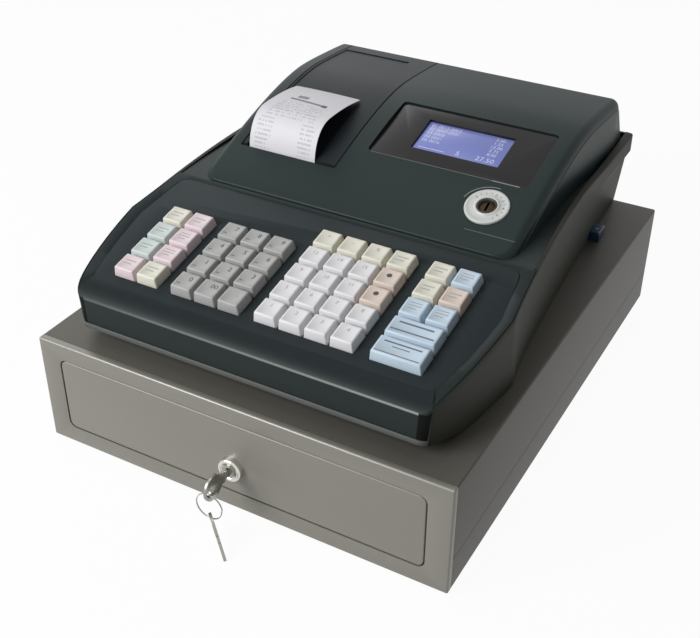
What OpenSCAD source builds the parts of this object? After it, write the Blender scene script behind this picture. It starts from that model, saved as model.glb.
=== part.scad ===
// Electronic ticket register standing on its own cash drawer, in millimetres, +Z up.
// The counter is at z = 0, the front faces -Y and the origin is the middle of the footprint.

/* [Drawer case] */
// Width of the case
case_w = 320; // [310:1:360]
// Depth of the case
case_d = 398; // [398:1:440]
// Height of the case above its feet
case_h = 86.5; // [84:0.5:100]
// Thickness of the case sheet
sheet = 1.2; // [0.8:0.1:1.5]
// Height of the rubber feet
foot_h = 2.5; // [2:0.1:6]
// Radius of the rubber feet
foot_r = 9; // [6:0.5:12]
// Height of the side seam above the bottom of the case
seam_h = 26.5; // [20:0.5:34]
// Depth of the front frame
frame_d = 5; // [4:0.5:8]
// Border of the front frame beside the drawer
border_side = 16.8; // [15:0.1:22]
// Border of the front frame over the drawer
border_top = 12.6; // [10:0.1:16]
// Border of the front frame under the drawer
border_low = 13.9; // [12:0.1:16]
// Corner radius of the drawer opening
opening_r = 6; // [3:0.5:10]

/* [Drawer] */
// Gap around the drawer front
front_gap = 0.9; // [0.5:0.1:1.5]
// Depth of the folded drawer front
front_d = 14; // [14:0.5:20]
// Depth of the drawer tub in a case of the standard depth
tub_d = 356; // [340:1:358]
// Height of the drawer tub
tub_h = 52; // [46:1:56]
// Space beside the tub, up to the edge of the opening
tub_side = 8.2; // [7:0.1:12]
// Height of the runner tongues above the bottom of the case
runner_h = 43.5; // [38:0.5:46]
// Thickness of the runner tongues
tongue_t = 4; // [3:0.1:6]
// Running gap of the tongues in the rails
runner_gap = 0.5; // [0.3:0.1:1]
// Thickness of the rail sheet
rail_t = 1.5; // [1:0.1:2]
// Wall of the cash tray
tray_wall = 2; // [1.5:0.1:3]
// Depth of the coin compartments
coin_d = 72; // [60:1:90]
// Length of the note clips
clip_len = 68; // [50:1:72]
// Radius of the rod that carries the note clips
clip_rod_r = 2; // [1.5:0.1:2.5]

/* [Lock and keys] */
// Height of the lock above the bottom of the case
lock_h = 35.9; // [34:0.1:40]
// Radius of the lock face
lock_face_r = 9; // [8:0.1:12]
// Radius of the lock barrel
lock_barrel_r = 7.8; // [7:0.1:9]
// Radius of the turning plug
plug_r = 5; // [4.5:0.1:6]
// How far the lock face stands out
lock_face_t = 5; // [3:0.5:7]
// Radius of the key bow
bow_r = 9.5; // [8:0.1:11]
// Thickness of the keys
key_t = 2; // [1.6:0.1:2.2]
// Distance from the case front to the ring hole of the key
ring_reach = 28; // [26:0.5:32]
// Radius of the key ring
ring_r = 10.4; // [9:0.1:11]
// Radius of the key ring's wire
wire_r = 0.8; // [0.6:0.05:1]
// Distance from the case front to the tip of the spare key
key_reach = 44.3; // [43:0.1:50]

/* [Register body] */
// Distance from the case front to the register's front face
reg_front = 15.5; // [10:0.5:20]
// Depth of the register
reg_d = 382.5; // [380:0.5:390]
// Half width of the front face
face_half = 127; // [112:1:130]
// Half width at the front corners
corner_half = 136; // [130:1:140]
// Half width at the widest place
wide_half = 150.6; // [148:0.1:154]
// Half width at the back
back_half = 132; // [130:0.5:140]
// Height of the front edge of the deck
deck_front_h = 39.6; // [34:0.1:44]
// Slope of the key deck in degrees
deck_slope = 11; // [8:0.5:13]
// Height of the chin's lower edge at the front
chin_h = 10.5; // [8:0.5:16]
// Distance over which the chin comes down to the drawer
chin_d = 54.5; // [45:0.5:70]
// Height of the rim under the front face
rim_h = 4.5; // [2:0.1:5]
// Wall of the mouldings
wall = 2.5; // [2:0.1:3]
// Wall of the cheeks
cheek_wall = 3; // [2.5:0.1:4]
// Width of the cheeks' top edge at the back
ledge_w = 7; // [5:0.1:9]
// Radius of the edge between the front face and the deck
edge_r = 6.5; // [3:0.5:8]
// Height of the floor that the head stands on
well_h = 51; // [48:0.5:52]

/* [Deck and keys] */
// Width of the band beside the inlaid key panel
band_w = 9; // [8:0.5:12]
// Thickness of the inlaid key panel
panel_t = 2; // [1.6:0.1:2.4]
// Pitch of the keys
pitch = 18.9; // [18.5:0.05:19.5]
// Gap between neighbouring keys
key_gap = 1.2; // [0.8:0.1:2]
// Height of the keys above the deck
key_h = 7; // [6:0.1:11]
// Taper of the keys, from base to top
key_taper = 2.4; // [2:0.1:5]
// Distance up the slope from the front face to the first row
first_row = 22.3; // [18:0.1:24]
// Radius of the key stems
stem_r = 3; // [2:0.1:4]
// Travel of the keys
key_travel = 3.5; // [2:0.1:4]

/* [Head] */
// Half width of the head
head_half = 126.2; // [124:0.1:127]
// Distance from the register's front to the head's front lip
head_front = 138.1; // [134:0.1:140]
// Height of the front lip
lip_h = 67; // [64:0.1:70]
// Height of the top of the head
head_top = 107.2; // [100:0.1:114]
// Radius of the head's front corners
head_corner = 12; // [8:0.5:16]
// Radius of the head's long top edges
shoulder_r = 7; // [3:0.5:10]
// Thickness of the display window
window_t = 2; // [1.5:0.1:2.5]
// Tilt of the display window in degrees
window_tilt = 14.7; // [12:0.1:16]
// Width of the display window
window_w = 126; // [110:1:128]
// Length of the display window
window_l = 62.8; // [50:0.1:64]
// Width of the display
lcd_w = 68.5; // [50:0.5:80]
// Length of the display
lcd_l = 33.5; // [25:0.5:38]
// Radius of the mode dial
dial_r = 16; // [13:0.1:18]
// Radius of the turning plug of the mode lock
mode_plug_r = 7.3; // [6:0.1:8]

/* [Printer] */
// Left edge of the printer cover
lid_left = -112; // [-114:0.5:-108]
// Right edge of the printer cover
lid_right = -31; // [-36:0.5:-28]
// Gap around the printer cover
lid_gap = 0.4; // [0.3:0.1:0.8]
// Width of the ticket paper
paper_w = 57.4; // [50:0.1:58]
// Thickness of the ticket
paper_t = 0.3; // [0.2:0.05:0.4]
// Radius of the paper roll
roll_r = 30; // [15:0.5:31]
// Radius of the spindle
spindle_r = 6; // [4:0.1:8]
// Radius of the platen
platen_r = 8; // [6:0.1:8.4]
// Module of the feed gears
tooth_module = 0.8; // [0.7:0.05:0.85]

/* [Memory stick] */
// Width of the memory stick
stick_w = 13.6; // [10:0.1:16]
// Height of the memory stick
stick_h = 9.6; // [7:0.1:12]
// How far the memory stick stands out of the cheek
stick_out = 9; // [6:0.5:12]

/* [Hidden] */
$fn = 48;
fit = 0.05;       // radial clearance of a running fit
touch = 0.2;      // clearance between pieces that seat on each other
clear = 0.3;      // clearance between pieces that lie side by side

// Places in the drawer case, measured from the middle of the case's front edge on the counter
origin_y = (case_d - key_reach) / 2;
case_x = case_w / 2;
case_top = foot_h + case_h;
seam_z = foot_h + seam_h;
open_x = case_x - border_side;
open_low = foot_h + border_low;
open_top = case_top - border_top;
tub_x = open_x - tub_side;
tub_low = open_low + 1.6;
tub_top = tub_low + tub_h;
tub_front = front_d;
standard_case_d = 398;
tub_back = tub_front + tub_d + case_d - standard_case_d;
tongue_x = open_x - 0.8;
tongue_z = foot_h + runner_h;
tongue_start = 120;
rail_x = open_x + clear;
rail_start = front_d + 1;
rail_end = case_d - 13;
rail_foot = 11;
collar_d = 8;
lock_z = foot_h + lock_h;
cam_y = collar_d + 1.5;
key_half = 2.9;       // half width of a key's blade
key_point = 4;        // length of the blade's point
ring_hole_r = wire_r + 0.9 * key_t;
ring_hang = ring_hole_r - wire_r - touch / 2;
tray_x = tub_x - sheet - clear;
tray_front = tub_front + sheet + clear;
tray_back = tub_back - sheet - clear;
tray_low = tub_low + sheet + clear;
tray_top = tub_top - 4;
tray_floor = tray_low + tray_wall;
rod_y = tray_back - 9;
rod_z = tray_top - 7;
clip_tip_r = 3;
clip_drop = asin((rod_z - tray_floor - clip_tip_r - clear) / clip_len);
cell_w = (2 * tray_x - 5 * tray_wall) / 4;
lug_y = tub_back - 8;
hook_y = lug_y + 16;
hook_x = 20;
hook_pin_r = 2.5;
release_plate_t = 1.5;

// Places in the register, measured from the middle of its front face on the drawer case
reg_y = reg_front - origin_y;
kink_y = 86.5;
corner_y = 3.3;
kink_lean = 11;
deck_back = head_front - 1;
deck_t = 4.5;
head_back = reg_d - 12.5;
slant_y = head_back - 21;
slant = 1.586;
crown_end = 103.1;
top_plan = [
    [[0, face_half], [0, corner_half - 2.4], [6, corner_half]],
    [[6, corner_half], [33.6, 146], [kink_y, wide_half]],
    [[kink_y, wide_half], [139.5, 142.3], [reg_d, back_half]]
];
low_plan = [
    [[0, face_half - 1], [0, corner_half - 4.5], [7, corner_half - 2]],
    [[7, corner_half - 2], [32.5, 143.5], [kink_y + kink_lean, wide_half - 0.8]],
    [[kink_y + kink_lean, wide_half - 0.8], [130.5, 139], [reg_d, back_half - 8]]
];
crease_rise = [
    [[0, deck_front_h], [64.5, deck_front_h + 15.9], [114.5, deck_front_h + 23.2]],
    [[114.5, deck_front_h + 23.2], [174.5, deck_front_h + 33.6], [234.5, deck_front_h + 33.4]],
    [[234.5, deck_front_h + 33.4], [249.5, deck_front_h + 33.2], [284.5, deck_front_h + 29]],
    [[284.5, deck_front_h + 29], [324.5, deck_front_h + 24.6], [reg_d, deck_front_h + 22.9]]
];
chin_curve = [[[0, chin_h], [chin_d / 2, 0], [chin_d, 0]], [[chin_d, 0], [200, 0], [reg_d, 0]]];
crown = [
    [[head_front, lip_h], [head_front + 98.5, head_top], [head_front + 146.4, head_top]],
    [[head_front + 146.4, head_top], [head_front + 163.4, head_top], [slant_y, crown_end]]
];
panel_front = 5.5;
panel_back = head_front - 6.1;
window_x = 47;
window_back = 259.2;
window_z = 104;
lcd_x = 46.5;
lcd_back = window_back - 13;
dial_x = 91.2;
dial_y = 174.1;
lid_front = 176.3;
lid_back = slant_y - 0.6;
lid_axis_y = slant_y - 3;
lid_axis_z = 100.5;
lid_pin_r = 1.5;
slot_y = 174;
paper_x = -77;
roll_y = 254.5;
roll_z = 61;
platen_y = 184.5;
platen_z = 61;
axle_r = 2.5;
platen_teeth = 30;
pinion_teeth = 12;
gear_reach = tooth_module * (platen_teeth + pinion_teeth) / 2;
motor_z = platen_z - gear_reach;
frame_left = lid_left + 2.5;
frame_right = paper_x + paper_w / 2 + 2;
gear_x = frame_right + 3;
gear_w = 4;
printer_low = 23;
printer_back = roll_y + roll_r + 3.5;
board_z = 7.5;
stick_y = 305.5;
stick_z = wall + clear;
stick_in = 112;
inlet_x = -80;
inlet_half = 14;
inlet_low = 14;
inlet_high = 34;
dial_barrel_r = 9.5;

// First column and number of columns and rows of each bank of keys, in key pitches
BANKS = [[0, 2, 4], [2.5, 3, 4], [6, 4, 5], [10.5, 2, 5]];
bank_w = 12.5 * pitch;
skirt = 2.2;
board_gap = 2.3;
board_drop = skirt + key_travel + board_gap;
board_t = 4;

// Tints of the keys
cream = [0.85, 0.85, 0.80];
white = [0.87, 0.87, 0.88];
pink = [0.87, 0.81, 0.83];
mint = [0.76, 0.80, 0.77];
pale_blue = [0.67, 0.75, 0.79];
peach = [0.80, 0.70, 0.60];

// Bezier curve of three [place, value] points, read at a place
function curve_at(c, y) =
    let (
        a = c[0][0] - 2 * c[1][0] + c[2][0],
        b = 2 * (c[1][0] - c[0][0]),
        d = c[0][0] - y,
        t = abs(a) < 0.001 ? -d / b : (-b + sqrt(max(0, b * b - 4 * a * d))) / (2 * a)
    )
    c[0][1] * (1 - t) * (1 - t) + 2 * c[1][1] * t * (1 - t) + c[2][1] * t * t;

// Chain of such curves, read at a place
function chain_at(chain, y, i = 0) =
    i == len(chain) - 1 || y <= chain[i][2][0] ? curve_at(chain[i], y) : chain_at(chain, y, i + 1);

function steps(from, to, count) = [for (i = [0 : count]) from + (to - from) * i / count];
function mix(a, b, t) = a + (b - a) * t;
function clamp(v) = min(1, max(0, v));

// The cheek leans back towards its lower edge around the kink
function lean(y) = kink_lean * max(0, 1 - abs(y - kink_y) / 75);
function top_half(y) = chain_at(top_plan, y);
function crease(y) = chain_at(crease_rise, y);
function low_half(y) = chain_at(low_plan, y);
function chin(y) = chain_at(chin_curve, y);
function deck(y) = deck_front_h + y * tan(deck_slope);
function cheek_top(y) = mix(cheek_wall, ledge_w, clamp((y - 140) / (reg_d - 140)));

// Inner face of the cheek at a place and height
function cheek_inside(y, z) =
    mix(low_half(y) - cheek_wall, top_half(y) - cheek_top(y), clamp(z / crease(y)));

// Top of the head, its slanted back included, lowered by a wall
function head_z(y, t = 0) =
    min(
        chain_at(crown, min(y, slant_y)) - t * 1.06,
        crown_end - slant * (y - slant_y) - t * norm([1, slant])
    );
// Half width of the head, which keeps clear of the cheeks that close in behind it
function head_hw(y) =
    let (
        side = min(head_half, cheek_inside(y, well_h) - clear),
        s = head_corner - clamp((y - head_front) / head_corner) * head_corner
    )
    side - head_corner + sqrt(head_corner * head_corner - s * s);

// Solid between two grids of points, upper and lower, each a list of rows of equal length.
// Rows follow one another towards +Y, and the points of the upper grid towards +X.
module between(upper, lower) {
    rows = len(upper);
    cols = len(upper[0]);
    points = concat([for (row = upper) each row], [for (row = lower) each row]);
    n = rows * cols;
    quads = [
        for (i = [0 : rows - 2], j = [0 : cols - 2])
            each let (a = i * cols + j, b = a + cols)
                [[a, b, b + 1, a + 1], [n + a, n + a + 1, n + b + 1, n + b]],
        for (i = [0 : rows - 2])
            each let (a = i * cols, b = a + cols, c = a + cols - 1, d = b + cols - 1)
                [[b, a, n + a, n + b], [c, d, n + d, n + c]],
        for (j = [0 : cols - 2])
            each let (a = j, b = (rows - 1) * cols + j)
                [[a, a + 1, n + a + 1, n + a], [b + 1, b, n + b, n + b + 1]]
    ];
    polyhedron(points, [for (q = quads) each [[q[0], q[1], q[2]], [q[0], q[2], q[3]]]]);
}

module in_case() {
    translate([0, -origin_y, 0]) children();
}

module in_register() {
    translate([0, reg_y, case_top]) children();
}

// Frame of the key deck: X to the right, Y up the slope, Z out of the deck
module on_deck() {
    translate([0, reg_y, case_top + deck_front_h]) rotate([deck_slope, 0, 0]) children();
}

// Frame of the display window: Y up the slope from its lower edge, Z out of the window
module on_window() {
    in_register() translate([window_x, window_back, window_z]) rotate([window_tilt, 0, 0])
        translate([0, -window_l, 0]) children();
}

// Frame of the mode dial: Z along the lock's axis
module on_dial() {
    slope = atan((head_z(dial_y + 1) - head_z(dial_y - 1)) / 2);
    in_register() translate([dial_x, dial_y, head_z(dial_y)]) rotate([slope, 0, 0]) children();
}

// Box between two corners
module box(a, b) {
    translate(a) cube(b - a);
}

// Box that is the same on both sides of the middle
module wide_box(half, y, z) {
    box([-half, y[0], z[0]], [half, y[1], z[1]]);
}

module both() {
    children();
    mirror([1, 0, 0]) children();
}

// Outline in Y and Z, drawn out along X
module along_x(x0, x1) {
    translate([x0, 0, 0]) rotate([90, 0, 90]) linear_extrude(x1 - x0) children();
}

// Outline in X and Z, drawn out along Y
module along_y(y0, y1) {
    translate([0, y1, 0]) rotate([90, 0, 0]) linear_extrude(y1 - y0) children();
}

module rod_x(x0, x1, y, z, r) {
    translate([x0, y, z]) rotate([0, 90, 0]) cylinder(r = r, h = x1 - x0);
}

module rod_y(x, y0, y1, z, r) {
    translate([x, y0, z]) rotate([-90, 0, 0]) cylinder(r = r, h = y1 - y0);
}

// Rectangle with round corners, the same on both sides of the middle
module rounded(half, low, high, r) {
    translate([-half + r, low]) square([2 * (half - r), high - low]);
    translate([-half, low + r]) square([2 * half, high - low - 2 * r]);
    for (x = [r - half, half - r], z = [low + r, high - r])
        translate([x, z]) circle(r);
}

// ---- drawer case ----

module case_shell() {
    color([0.42, 0.42, 0.40]) in_case() difference() {
        wide_box(case_x, [frame_d, case_d], [seam_z, case_top]);
        wide_box(case_x - sheet, [frame_d - 1, case_d - sheet], [seam_z - 1, case_top - sheet]);
    }
}

module case_pan() {
    tab = 0.1;
    lap = 8;
    outer = case_x - sheet - tab;
    color([0.36, 0.36, 0.34]) in_case() difference() {
        union() {
            difference() {
                wide_box(case_x, [frame_d, case_d], [foot_h, seam_z]);
                wide_box(case_x - sheet, [frame_d - 1, case_d - sheet], [foot_h + sheet, seam_z + 1]);
            }
            // Upstand inside the cover
            difference() {
                wide_box(outer, [frame_d, case_d - sheet - tab], [seam_z - lap, seam_z + lap]);
                wide_box(outer - sheet, [frame_d - 1, case_d - 2 * sheet - tab], [seam_z - 9, seam_z + 9]);
            }
            // Strips that join the upstand to the sides of the pan
            both() box([outer - 0.1, frame_d, seam_z - lap], [outer + tab + 0.1, case_d - sheet, seam_z - 4]);
        }
        screw_places() translate([0, 0, foot_h - 1]) cylinder(r = 2, h = sheet + 2);
    }
}

module front_frame() {
    color([0.58, 0.58, 0.55]) in_case() {
        difference() {
            wide_box(case_x, [0, frame_d], [foot_h, case_top]);
            wide_box(case_x - sheet, [sheet, frame_d + 1], [foot_h + sheet, case_top - sheet]);
            along_y(-1, sheet + 1) rounded(open_x, open_low, open_top, opening_r);
        }
        // Collar around the opening
        difference() {
            along_y(sheet, collar_d)
                rounded(open_x + sheet, open_low - sheet, open_top + sheet, opening_r + sheet);
            along_y(sheet - 1, collar_d + 1) rounded(open_x, open_low, open_top, opening_r);
        }
    }
}

module case_feet() {
    color([0.09, 0.09, 0.09]) in_case()
        for (x = [-1, 1], y = [25, case_d - 25])
            translate([x * (case_x - 25), y, 0]) {
                cylinder(r1 = foot_r - 0.8, r2 = foot_r, h = 0.8);
                translate([0, 0, 0.8]) cylinder(r = foot_r, h = foot_h - 0.8);
            }
}

module screw_places() {
    for (x = [-1, 1], y = [40, case_d / 2, case_d - 40])
        translate([x * (rail_x + rail_t + rail_foot / 2), y, 0]) children();
}

module case_rails() {
    foot_z = foot_h + sheet;
    inner = tub_x + 2.5;
    low = tongue_z - runner_gap;
    high = tongue_z + tongue_t + runner_gap;
    color([0.72, 0.73, 0.72]) in_case() difference() {
        both() along_y(rail_start, rail_end) {
            translate([rail_x, foot_z]) square([rail_t, high + rail_t - foot_z]);
            translate([rail_x, foot_z]) square([rail_t + rail_foot, rail_t]);
            translate([inner, low - rail_t]) square([rail_x + rail_t - inner, rail_t]);
            translate([inner, high]) square([rail_x + rail_t - inner, rail_t]);
        }
        screw_places() translate([0, 0, foot_z - 1]) cylinder(r = 2, h = rail_t + 2);
    }
}

module case_screws() {
    shank_r = 1.95;
    color([0.75, 0.75, 0.74]) in_case() screw_places() {
        translate([0, 0, foot_h - 1.5]) cylinder(r1 = 2.8, r2 = 3.6, h = 1.5);
        translate([0, 0, foot_h]) cylinder(r = shank_r, h = sheet + rail_t + 4);
    }
}

// ---- drawer ----

module drawer_tub() {
    color([0.30, 0.31, 0.31]) in_case() {
        difference() {
            wide_box(tub_x, [tub_front, tub_back], [tub_low, tub_top]);
            wide_box(tub_x - sheet, [tub_front + sheet, tub_back - sheet], [tub_low + sheet, tub_top + 1]);
        }
        both() box([tub_x - 0.5, tongue_start, tongue_z], [tongue_x, tub_back, tongue_z + tongue_t]);
        translate([0, lug_y, foot_h + sheet + 3]) cylinder(r = 3, h = tub_low - foot_h - sheet - 2.5);
    }
}

module drawer_front() {
    half = open_x - front_gap;
    low = open_low + front_gap;
    high = open_top - front_gap;
    r = opening_r - front_gap;
    color([0.53, 0.53, 0.50]) in_case() difference() {
        along_y(0, front_d) rounded(half, low, high, r);
        along_y(sheet, front_d + 1) rounded(half - sheet, low + sheet, high - sheet, r - sheet);
        rod_y(0, -1, sheet + 1, lock_z, lock_barrel_r + 0.1);
        // Slot that the lock's cam turns down through
        box([open_low - lock_z, cam_y - 0.5, low - 1], [7, front_d - 0.8, low + sheet + 1]);
    }
}

module cash_tray() {
    coin_rows = 2;
    note_front = tray_front + tray_wall + coin_d * coin_rows + tray_wall * coin_rows;
    color([0.13, 0.13, 0.14]) in_case() difference() {
        wide_box(tray_x, [tray_front, tray_back], [tray_low, tray_top]);
        for (i = [0 : 3]) {
            x = -tray_x + tray_wall + i * (cell_w + tray_wall);
            for (j = [0 : coin_rows - 1])
                translate([x, tray_front + tray_wall + j * (coin_d + tray_wall), tray_floor])
                    cube([cell_w, coin_d, tray_top]);
            box([x, note_front, tray_floor], [x + cell_w, tray_back - tray_wall, tray_top + 1]);
        }
        // Grooves that the clip rod drops into
        rod_x(-tray_x - 1, tray_x + 1, rod_y, rod_z, clip_rod_r + touch);
        wide_box(tray_x + 1, [rod_y - clip_rod_r - touch, rod_y + clip_rod_r + touch], [rod_z, tray_top + 1]);
    }
}

module clip_rod() {
    color([0.75, 0.76, 0.76]) in_case() rod_x(-tray_x, tray_x, rod_y, rod_z, clip_rod_r);
}

module bill_clips() {
    color([0.16, 0.16, 0.17]) in_case()
        for (i = [0 : 3])
            translate([-tray_x + tray_wall + i * (cell_w + tray_wall) + cell_w / 2, rod_y, rod_z])
                rotate([clip_drop, 0, 0]) difference() {
                    union() {
                        for (x = [-9, 5])
                            box([x, -clip_len, -1.5], [x + 4, 0, 1.5]);
                        box([-9, -clip_len, -1.5], [9, -clip_len + 6, 1.5]);
                        rod_x(-9, 9, -clip_len, 0, clip_tip_r);
                        rod_x(-9, 9, 0, 0, clip_rod_r + 2.5);
                    }
                    rod_x(-10, 10, 0, 0, clip_rod_r + fit);
                }
}

module drawer_lock() {
    color([0.75, 0.75, 0.73]) in_case() difference() {
        union() {
            rod_y(0, -lock_face_t + 1, 0, lock_z, lock_face_r);
            translate([0, -lock_face_t, lock_z]) rotate([-90, 0, 0])
                cylinder(r1 = lock_face_r - 1, r2 = lock_face_r, h = 1);
            rod_y(0, 0, collar_d, lock_z, lock_barrel_r);
        }
        rod_y(0, -lock_face_t - 1, collar_d + 1, lock_z, plug_r + fit);
    }
}

module lock_plug() {
    cam_t = 2;
    slot_x = key_t / 2 + 0.1;
    color([0.62, 0.61, 0.57]) in_case() {
        difference() {
            rod_y(0, -lock_face_t - 0.3, cam_y, lock_z, plug_r);
            box([-slot_x, -lock_face_t - 1, lock_z - 3.1], [slot_x, cam_y - 1, lock_z + 3.1]);
        }
        // Cam that drops behind the case front when the lock is turned
        rod_y(0, cam_y, cam_y + cam_t, lock_z, plug_r);
        box([-(lock_z - open_low) - 4, cam_y, lock_z - 4.5], [0, cam_y + cam_t, lock_z + 4.5]);
    }
}

// Key lying in X and Y, its ring hole at the origin and its blade towards +X
module key_blank(reach, blade) {
    shoulder = 2 * bow_r - 3;
    translate([0, 0, -key_t / 2]) linear_extrude(key_t) difference() {
        union() {
            translate([bow_r - 4, 0]) circle(bow_r);
            translate([bow_r, -4.2]) square([shoulder - bow_r + 2, 8.4]);
            translate([0, -key_half]) square([reach - key_point, 2 * key_half]);
            polygon([[reach - key_point, -key_half], [reach, 0], [reach - key_point, key_half]]);
        }
        circle(ring_hole_r);
        // Cuts of the blade
        for (i = [0 : 2])
            translate([reach - blade + 2.5 + i * 3.4, key_half + 0.9 - 0.25 * (i % 2)])
                rotate(45) square(2.4, center = true);
    }
}

module drawer_key() {
    color([0.70, 0.68, 0.62]) in_case() translate([0, -ring_reach, lock_z])
        rotate([90, 0, 90]) key_blank(ring_reach + collar_d - 1, 14);
}

module key_ring() {
    color([0.78, 0.78, 0.77]) in_case() translate([0, -ring_reach, lock_z - ring_hang - ring_r])
        rotate([90, 0, 0]) rotate_extrude() translate([ring_r, 0]) circle(wire_r, $fn = 24);
}

// The spare key hangs from the ring and leans on the counter
module spare_key() {
    across = 1;
    twist = 23;
    wire = [across, -ring_reach, lock_z - ring_hang - ring_r - sqrt(ring_r * ring_r - across * across)];
    tip = [22.4, -key_reach + 0.3, 0];
    u = (tip - wire) / norm(tip - wire);
    side = [1, 0, 0] - u[0] * u;
    flat = side / norm(side);
    n = cos(twist) * flat + sin(twist) * cross(flat, u);
    v = cross(n, u);
    // The wire crosses the hole at a slant and nearly touches its rim
    slant = [1, 0, 0] - n[0] * n;
    slack = ring_hole_r - (wire_r + key_t / 2 * norm(slant)) / n[0] - touch / 2;
    hole = wire + slack / norm(slant) * slant;
    // The lower corner of the blade's point stands on the counter
    drop = hole[2] - key_half * abs(v[2]) - key_t / 2 * abs(n[2]) - touch / 10;
    reach = drop / abs(u[2]) + key_point;
    color([0.70, 0.69, 0.66]) in_case() multmatrix([
        [u[0], v[0], n[0], hole[0]],
        [u[1], v[1], n[1], hole[1]],
        [u[2], v[2], n[2], hole[2]],
        [0, 0, 0, 1]
    ]) key_blank(reach, 13);
}

// ---- drawer release ----

module release_solenoid() {
    base = foot_h + sheet;
    coil = [tub_back + 6, tub_back + 22];
    color([0.35, 0.30, 0.22]) in_case() {
        box([-30, lug_y + 6, base], [hook_x + 8, case_d - 2 * sheet - 2, base + release_plate_t]);
        box([-26, coil[0], base + release_plate_t], [-2, coil[1], base + 19]);
        rod_y(-14, coil[0] - 4, coil[0], base + 10, 3);
        translate([hook_x, hook_y, base]) cylinder(r = hook_pin_r, h = 9);
    }
}

module latch_hook() {
    base = foot_h + sheet + release_plate_t + clear;
    open_angle = 25;
    color([0.68, 0.68, 0.66]) in_case() translate([hook_x, hook_y, base]) rotate([0, 0, open_angle])
        difference() {
            union() {
                cylinder(r = 5, h = 5);
                translate([-11, -25, 0]) cube([6, 20, 5]);
                translate([-11, -7, 0]) cube([12, 6, 5]);
                translate([-23, -27, 0]) cube([18, 5, 5]);
            }
            translate([0, 0, -1]) cylinder(r = hook_pin_r + fit, h = 7);
        }
}

module kick_spring() {
    bow = 0.88;
    leaf_t = 0.8;
    leaf_w = 14;
    back = case_d - 2 * sheet - 0.1;
    front = tub_back + clear;
    rise = back - front;
    r = bow * rise;
    color([0.62, 0.63, 0.64]) in_case() translate([70, front + r, tub_low + 6]) intersection() {
        difference() {
            cylinder(r = r, h = leaf_w, $fn = 96);
            translate([0, 0, -1]) cylinder(r = r - leaf_t, h = leaf_w + 2, $fn = 96);
        }
        box([-r - 1, -r - 1, -1], [r + 1, rise - r - 0.05, leaf_w + 1]);
    }
}

// ---- register body ----

// Stations along the register, closer together where it curves
STATIONS = concat(
    [0, 0.5, 1.5, 3, 5, 7.5, 10.5, 14, 18, 24, 30, 38, 46, 54.5, 64, 75, kink_y],
    [for (y = [97.5 : 13 : reg_d]) y]
);
function rows(from, to) = concat([from], [for (y = STATIONS) if (y > from && y < to) y], [to]);

// Points of a trough's outer or inner side, from right to left
function trough(y, inset, floor_z) =
    let (
        t = inset == 0 ? 0 : cheek_top(y),
        fade = clamp((y - 280) / 100),
        yb = y + lean(y),
        h = crease(y),
        zb = chin(yb) + floor_z,
        xt = top_half(y) - t,
        xb = low_half(yb) - inset,
        band = inset == 0 ? fade : 0,
        xm = mix(xt, xb, 14 / h) + 1.8 * band,
        xc = mix(xt, xb, 20 / h) - 1.0 * band,
        ym = mix(y, yb, 14 / h),
        yc = mix(y, yb, 20 / h),
        right = [[xt, y, h], [xm, ym, h - 14], [xc, yc, h - 20], [xb, yb, zb]]
    )
    concat(right, [for (i = [3 : -1 : 0]) [-right[i][0], right[i][1], right[i][2]]]);

// Plate of the deck, grown by a clearance for the seat that it lies in
module deck_plate(from, grow) {
    ys = rows(from, deck_back + grow);
    edge = 1 - grow;
    between(
        [for (y = ys) [
            [-top_half(y) + edge, y, crease(y) + 5 * grow],
            [-top_half(y) + band_w, y, deck(y) + 5 * grow],
            [top_half(y) - band_w, y, deck(y) + 5 * grow],
            [top_half(y) - edge, y, crease(y) + 5 * grow]
        ]],
        [for (y = ys) [
            [-top_half(y) + edge, y, crease(y) - deck_t - grow],
            [-top_half(y) + band_w, y, deck(y) - deck_t - grow],
            [top_half(y) - band_w, y, deck(y) - deck_t - grow],
            [top_half(y) - edge, y, crease(y) - deck_t - grow]
        ]]
    );
}

// What the rounding between the front face and the deck takes away
module front_round() {
    cut_z = deck(edge_r) - edge_r / cos(deck_slope);
    across = edge_r * (1 - sin(deck_slope));
    above = cut_z + edge_r + 5;
    along_x(-case_x, case_x) difference() {
        polygon([
            [-1, cut_z],
            [edge_r, cut_z],
            [across, cut_z + edge_r * cos(deck_slope)],
            [across, above],
            [-1, above]
        ]);
        translate([edge_r, cut_z]) circle(edge_r);
    }
}

module lower_case() {
    corner = corner_y + touch;
    ys = rows(corner, reg_d);
    front = rows(0, corner);
    back = [reg_d - wall, reg_d - 0.3];
    rim_z = chin(corner);
    color([0.30, 0.30, 0.28]) in_register() difference() {
        union() {
            between([for (y = ys) trough(y, 0, 0)], [for (y = ys) trough(y, cheek_wall, wall)]);
            between(
                [for (y = front) [for (x = [-1, 1]) [x * low_half(y), y, chin(y) + rim_h]]],
                [for (y = front) [for (x = [-1, 1]) [x * low_half(y), y, chin(y)]]]
            );
            // Tongue between the rim and the floor of the chin
            wide_box(face_half, [corner - 2, corner + 2], [rim_z + 0.8, rim_z + wall - 0.6]);
            between(
                [for (y = back) [for (x = [-1, 1]) [x * (top_half(y) - 3), y, crease(y) - 0.2]]],
                [for (y = back) [for (x = [-1, 1]) [x * (low_half(y) - 1), y, 0.2]]]
            );
        }
        deck_plate(corner - 1, touch);
        front_round();
        box([stick_in, stick_y - stick_w / 2 - clear, stick_z - clear],
            [160, stick_y + stick_w / 2 + clear, stick_z + stick_h + clear]);
        translate([inlet_x, 0, 0]) wide_box(inlet_half + touch, [reg_d - 5, reg_d + 1], inlet_rise(touch));
    }
}

function inlet_rise(grow) = [inlet_low - grow, inlet_high + grow];

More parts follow.
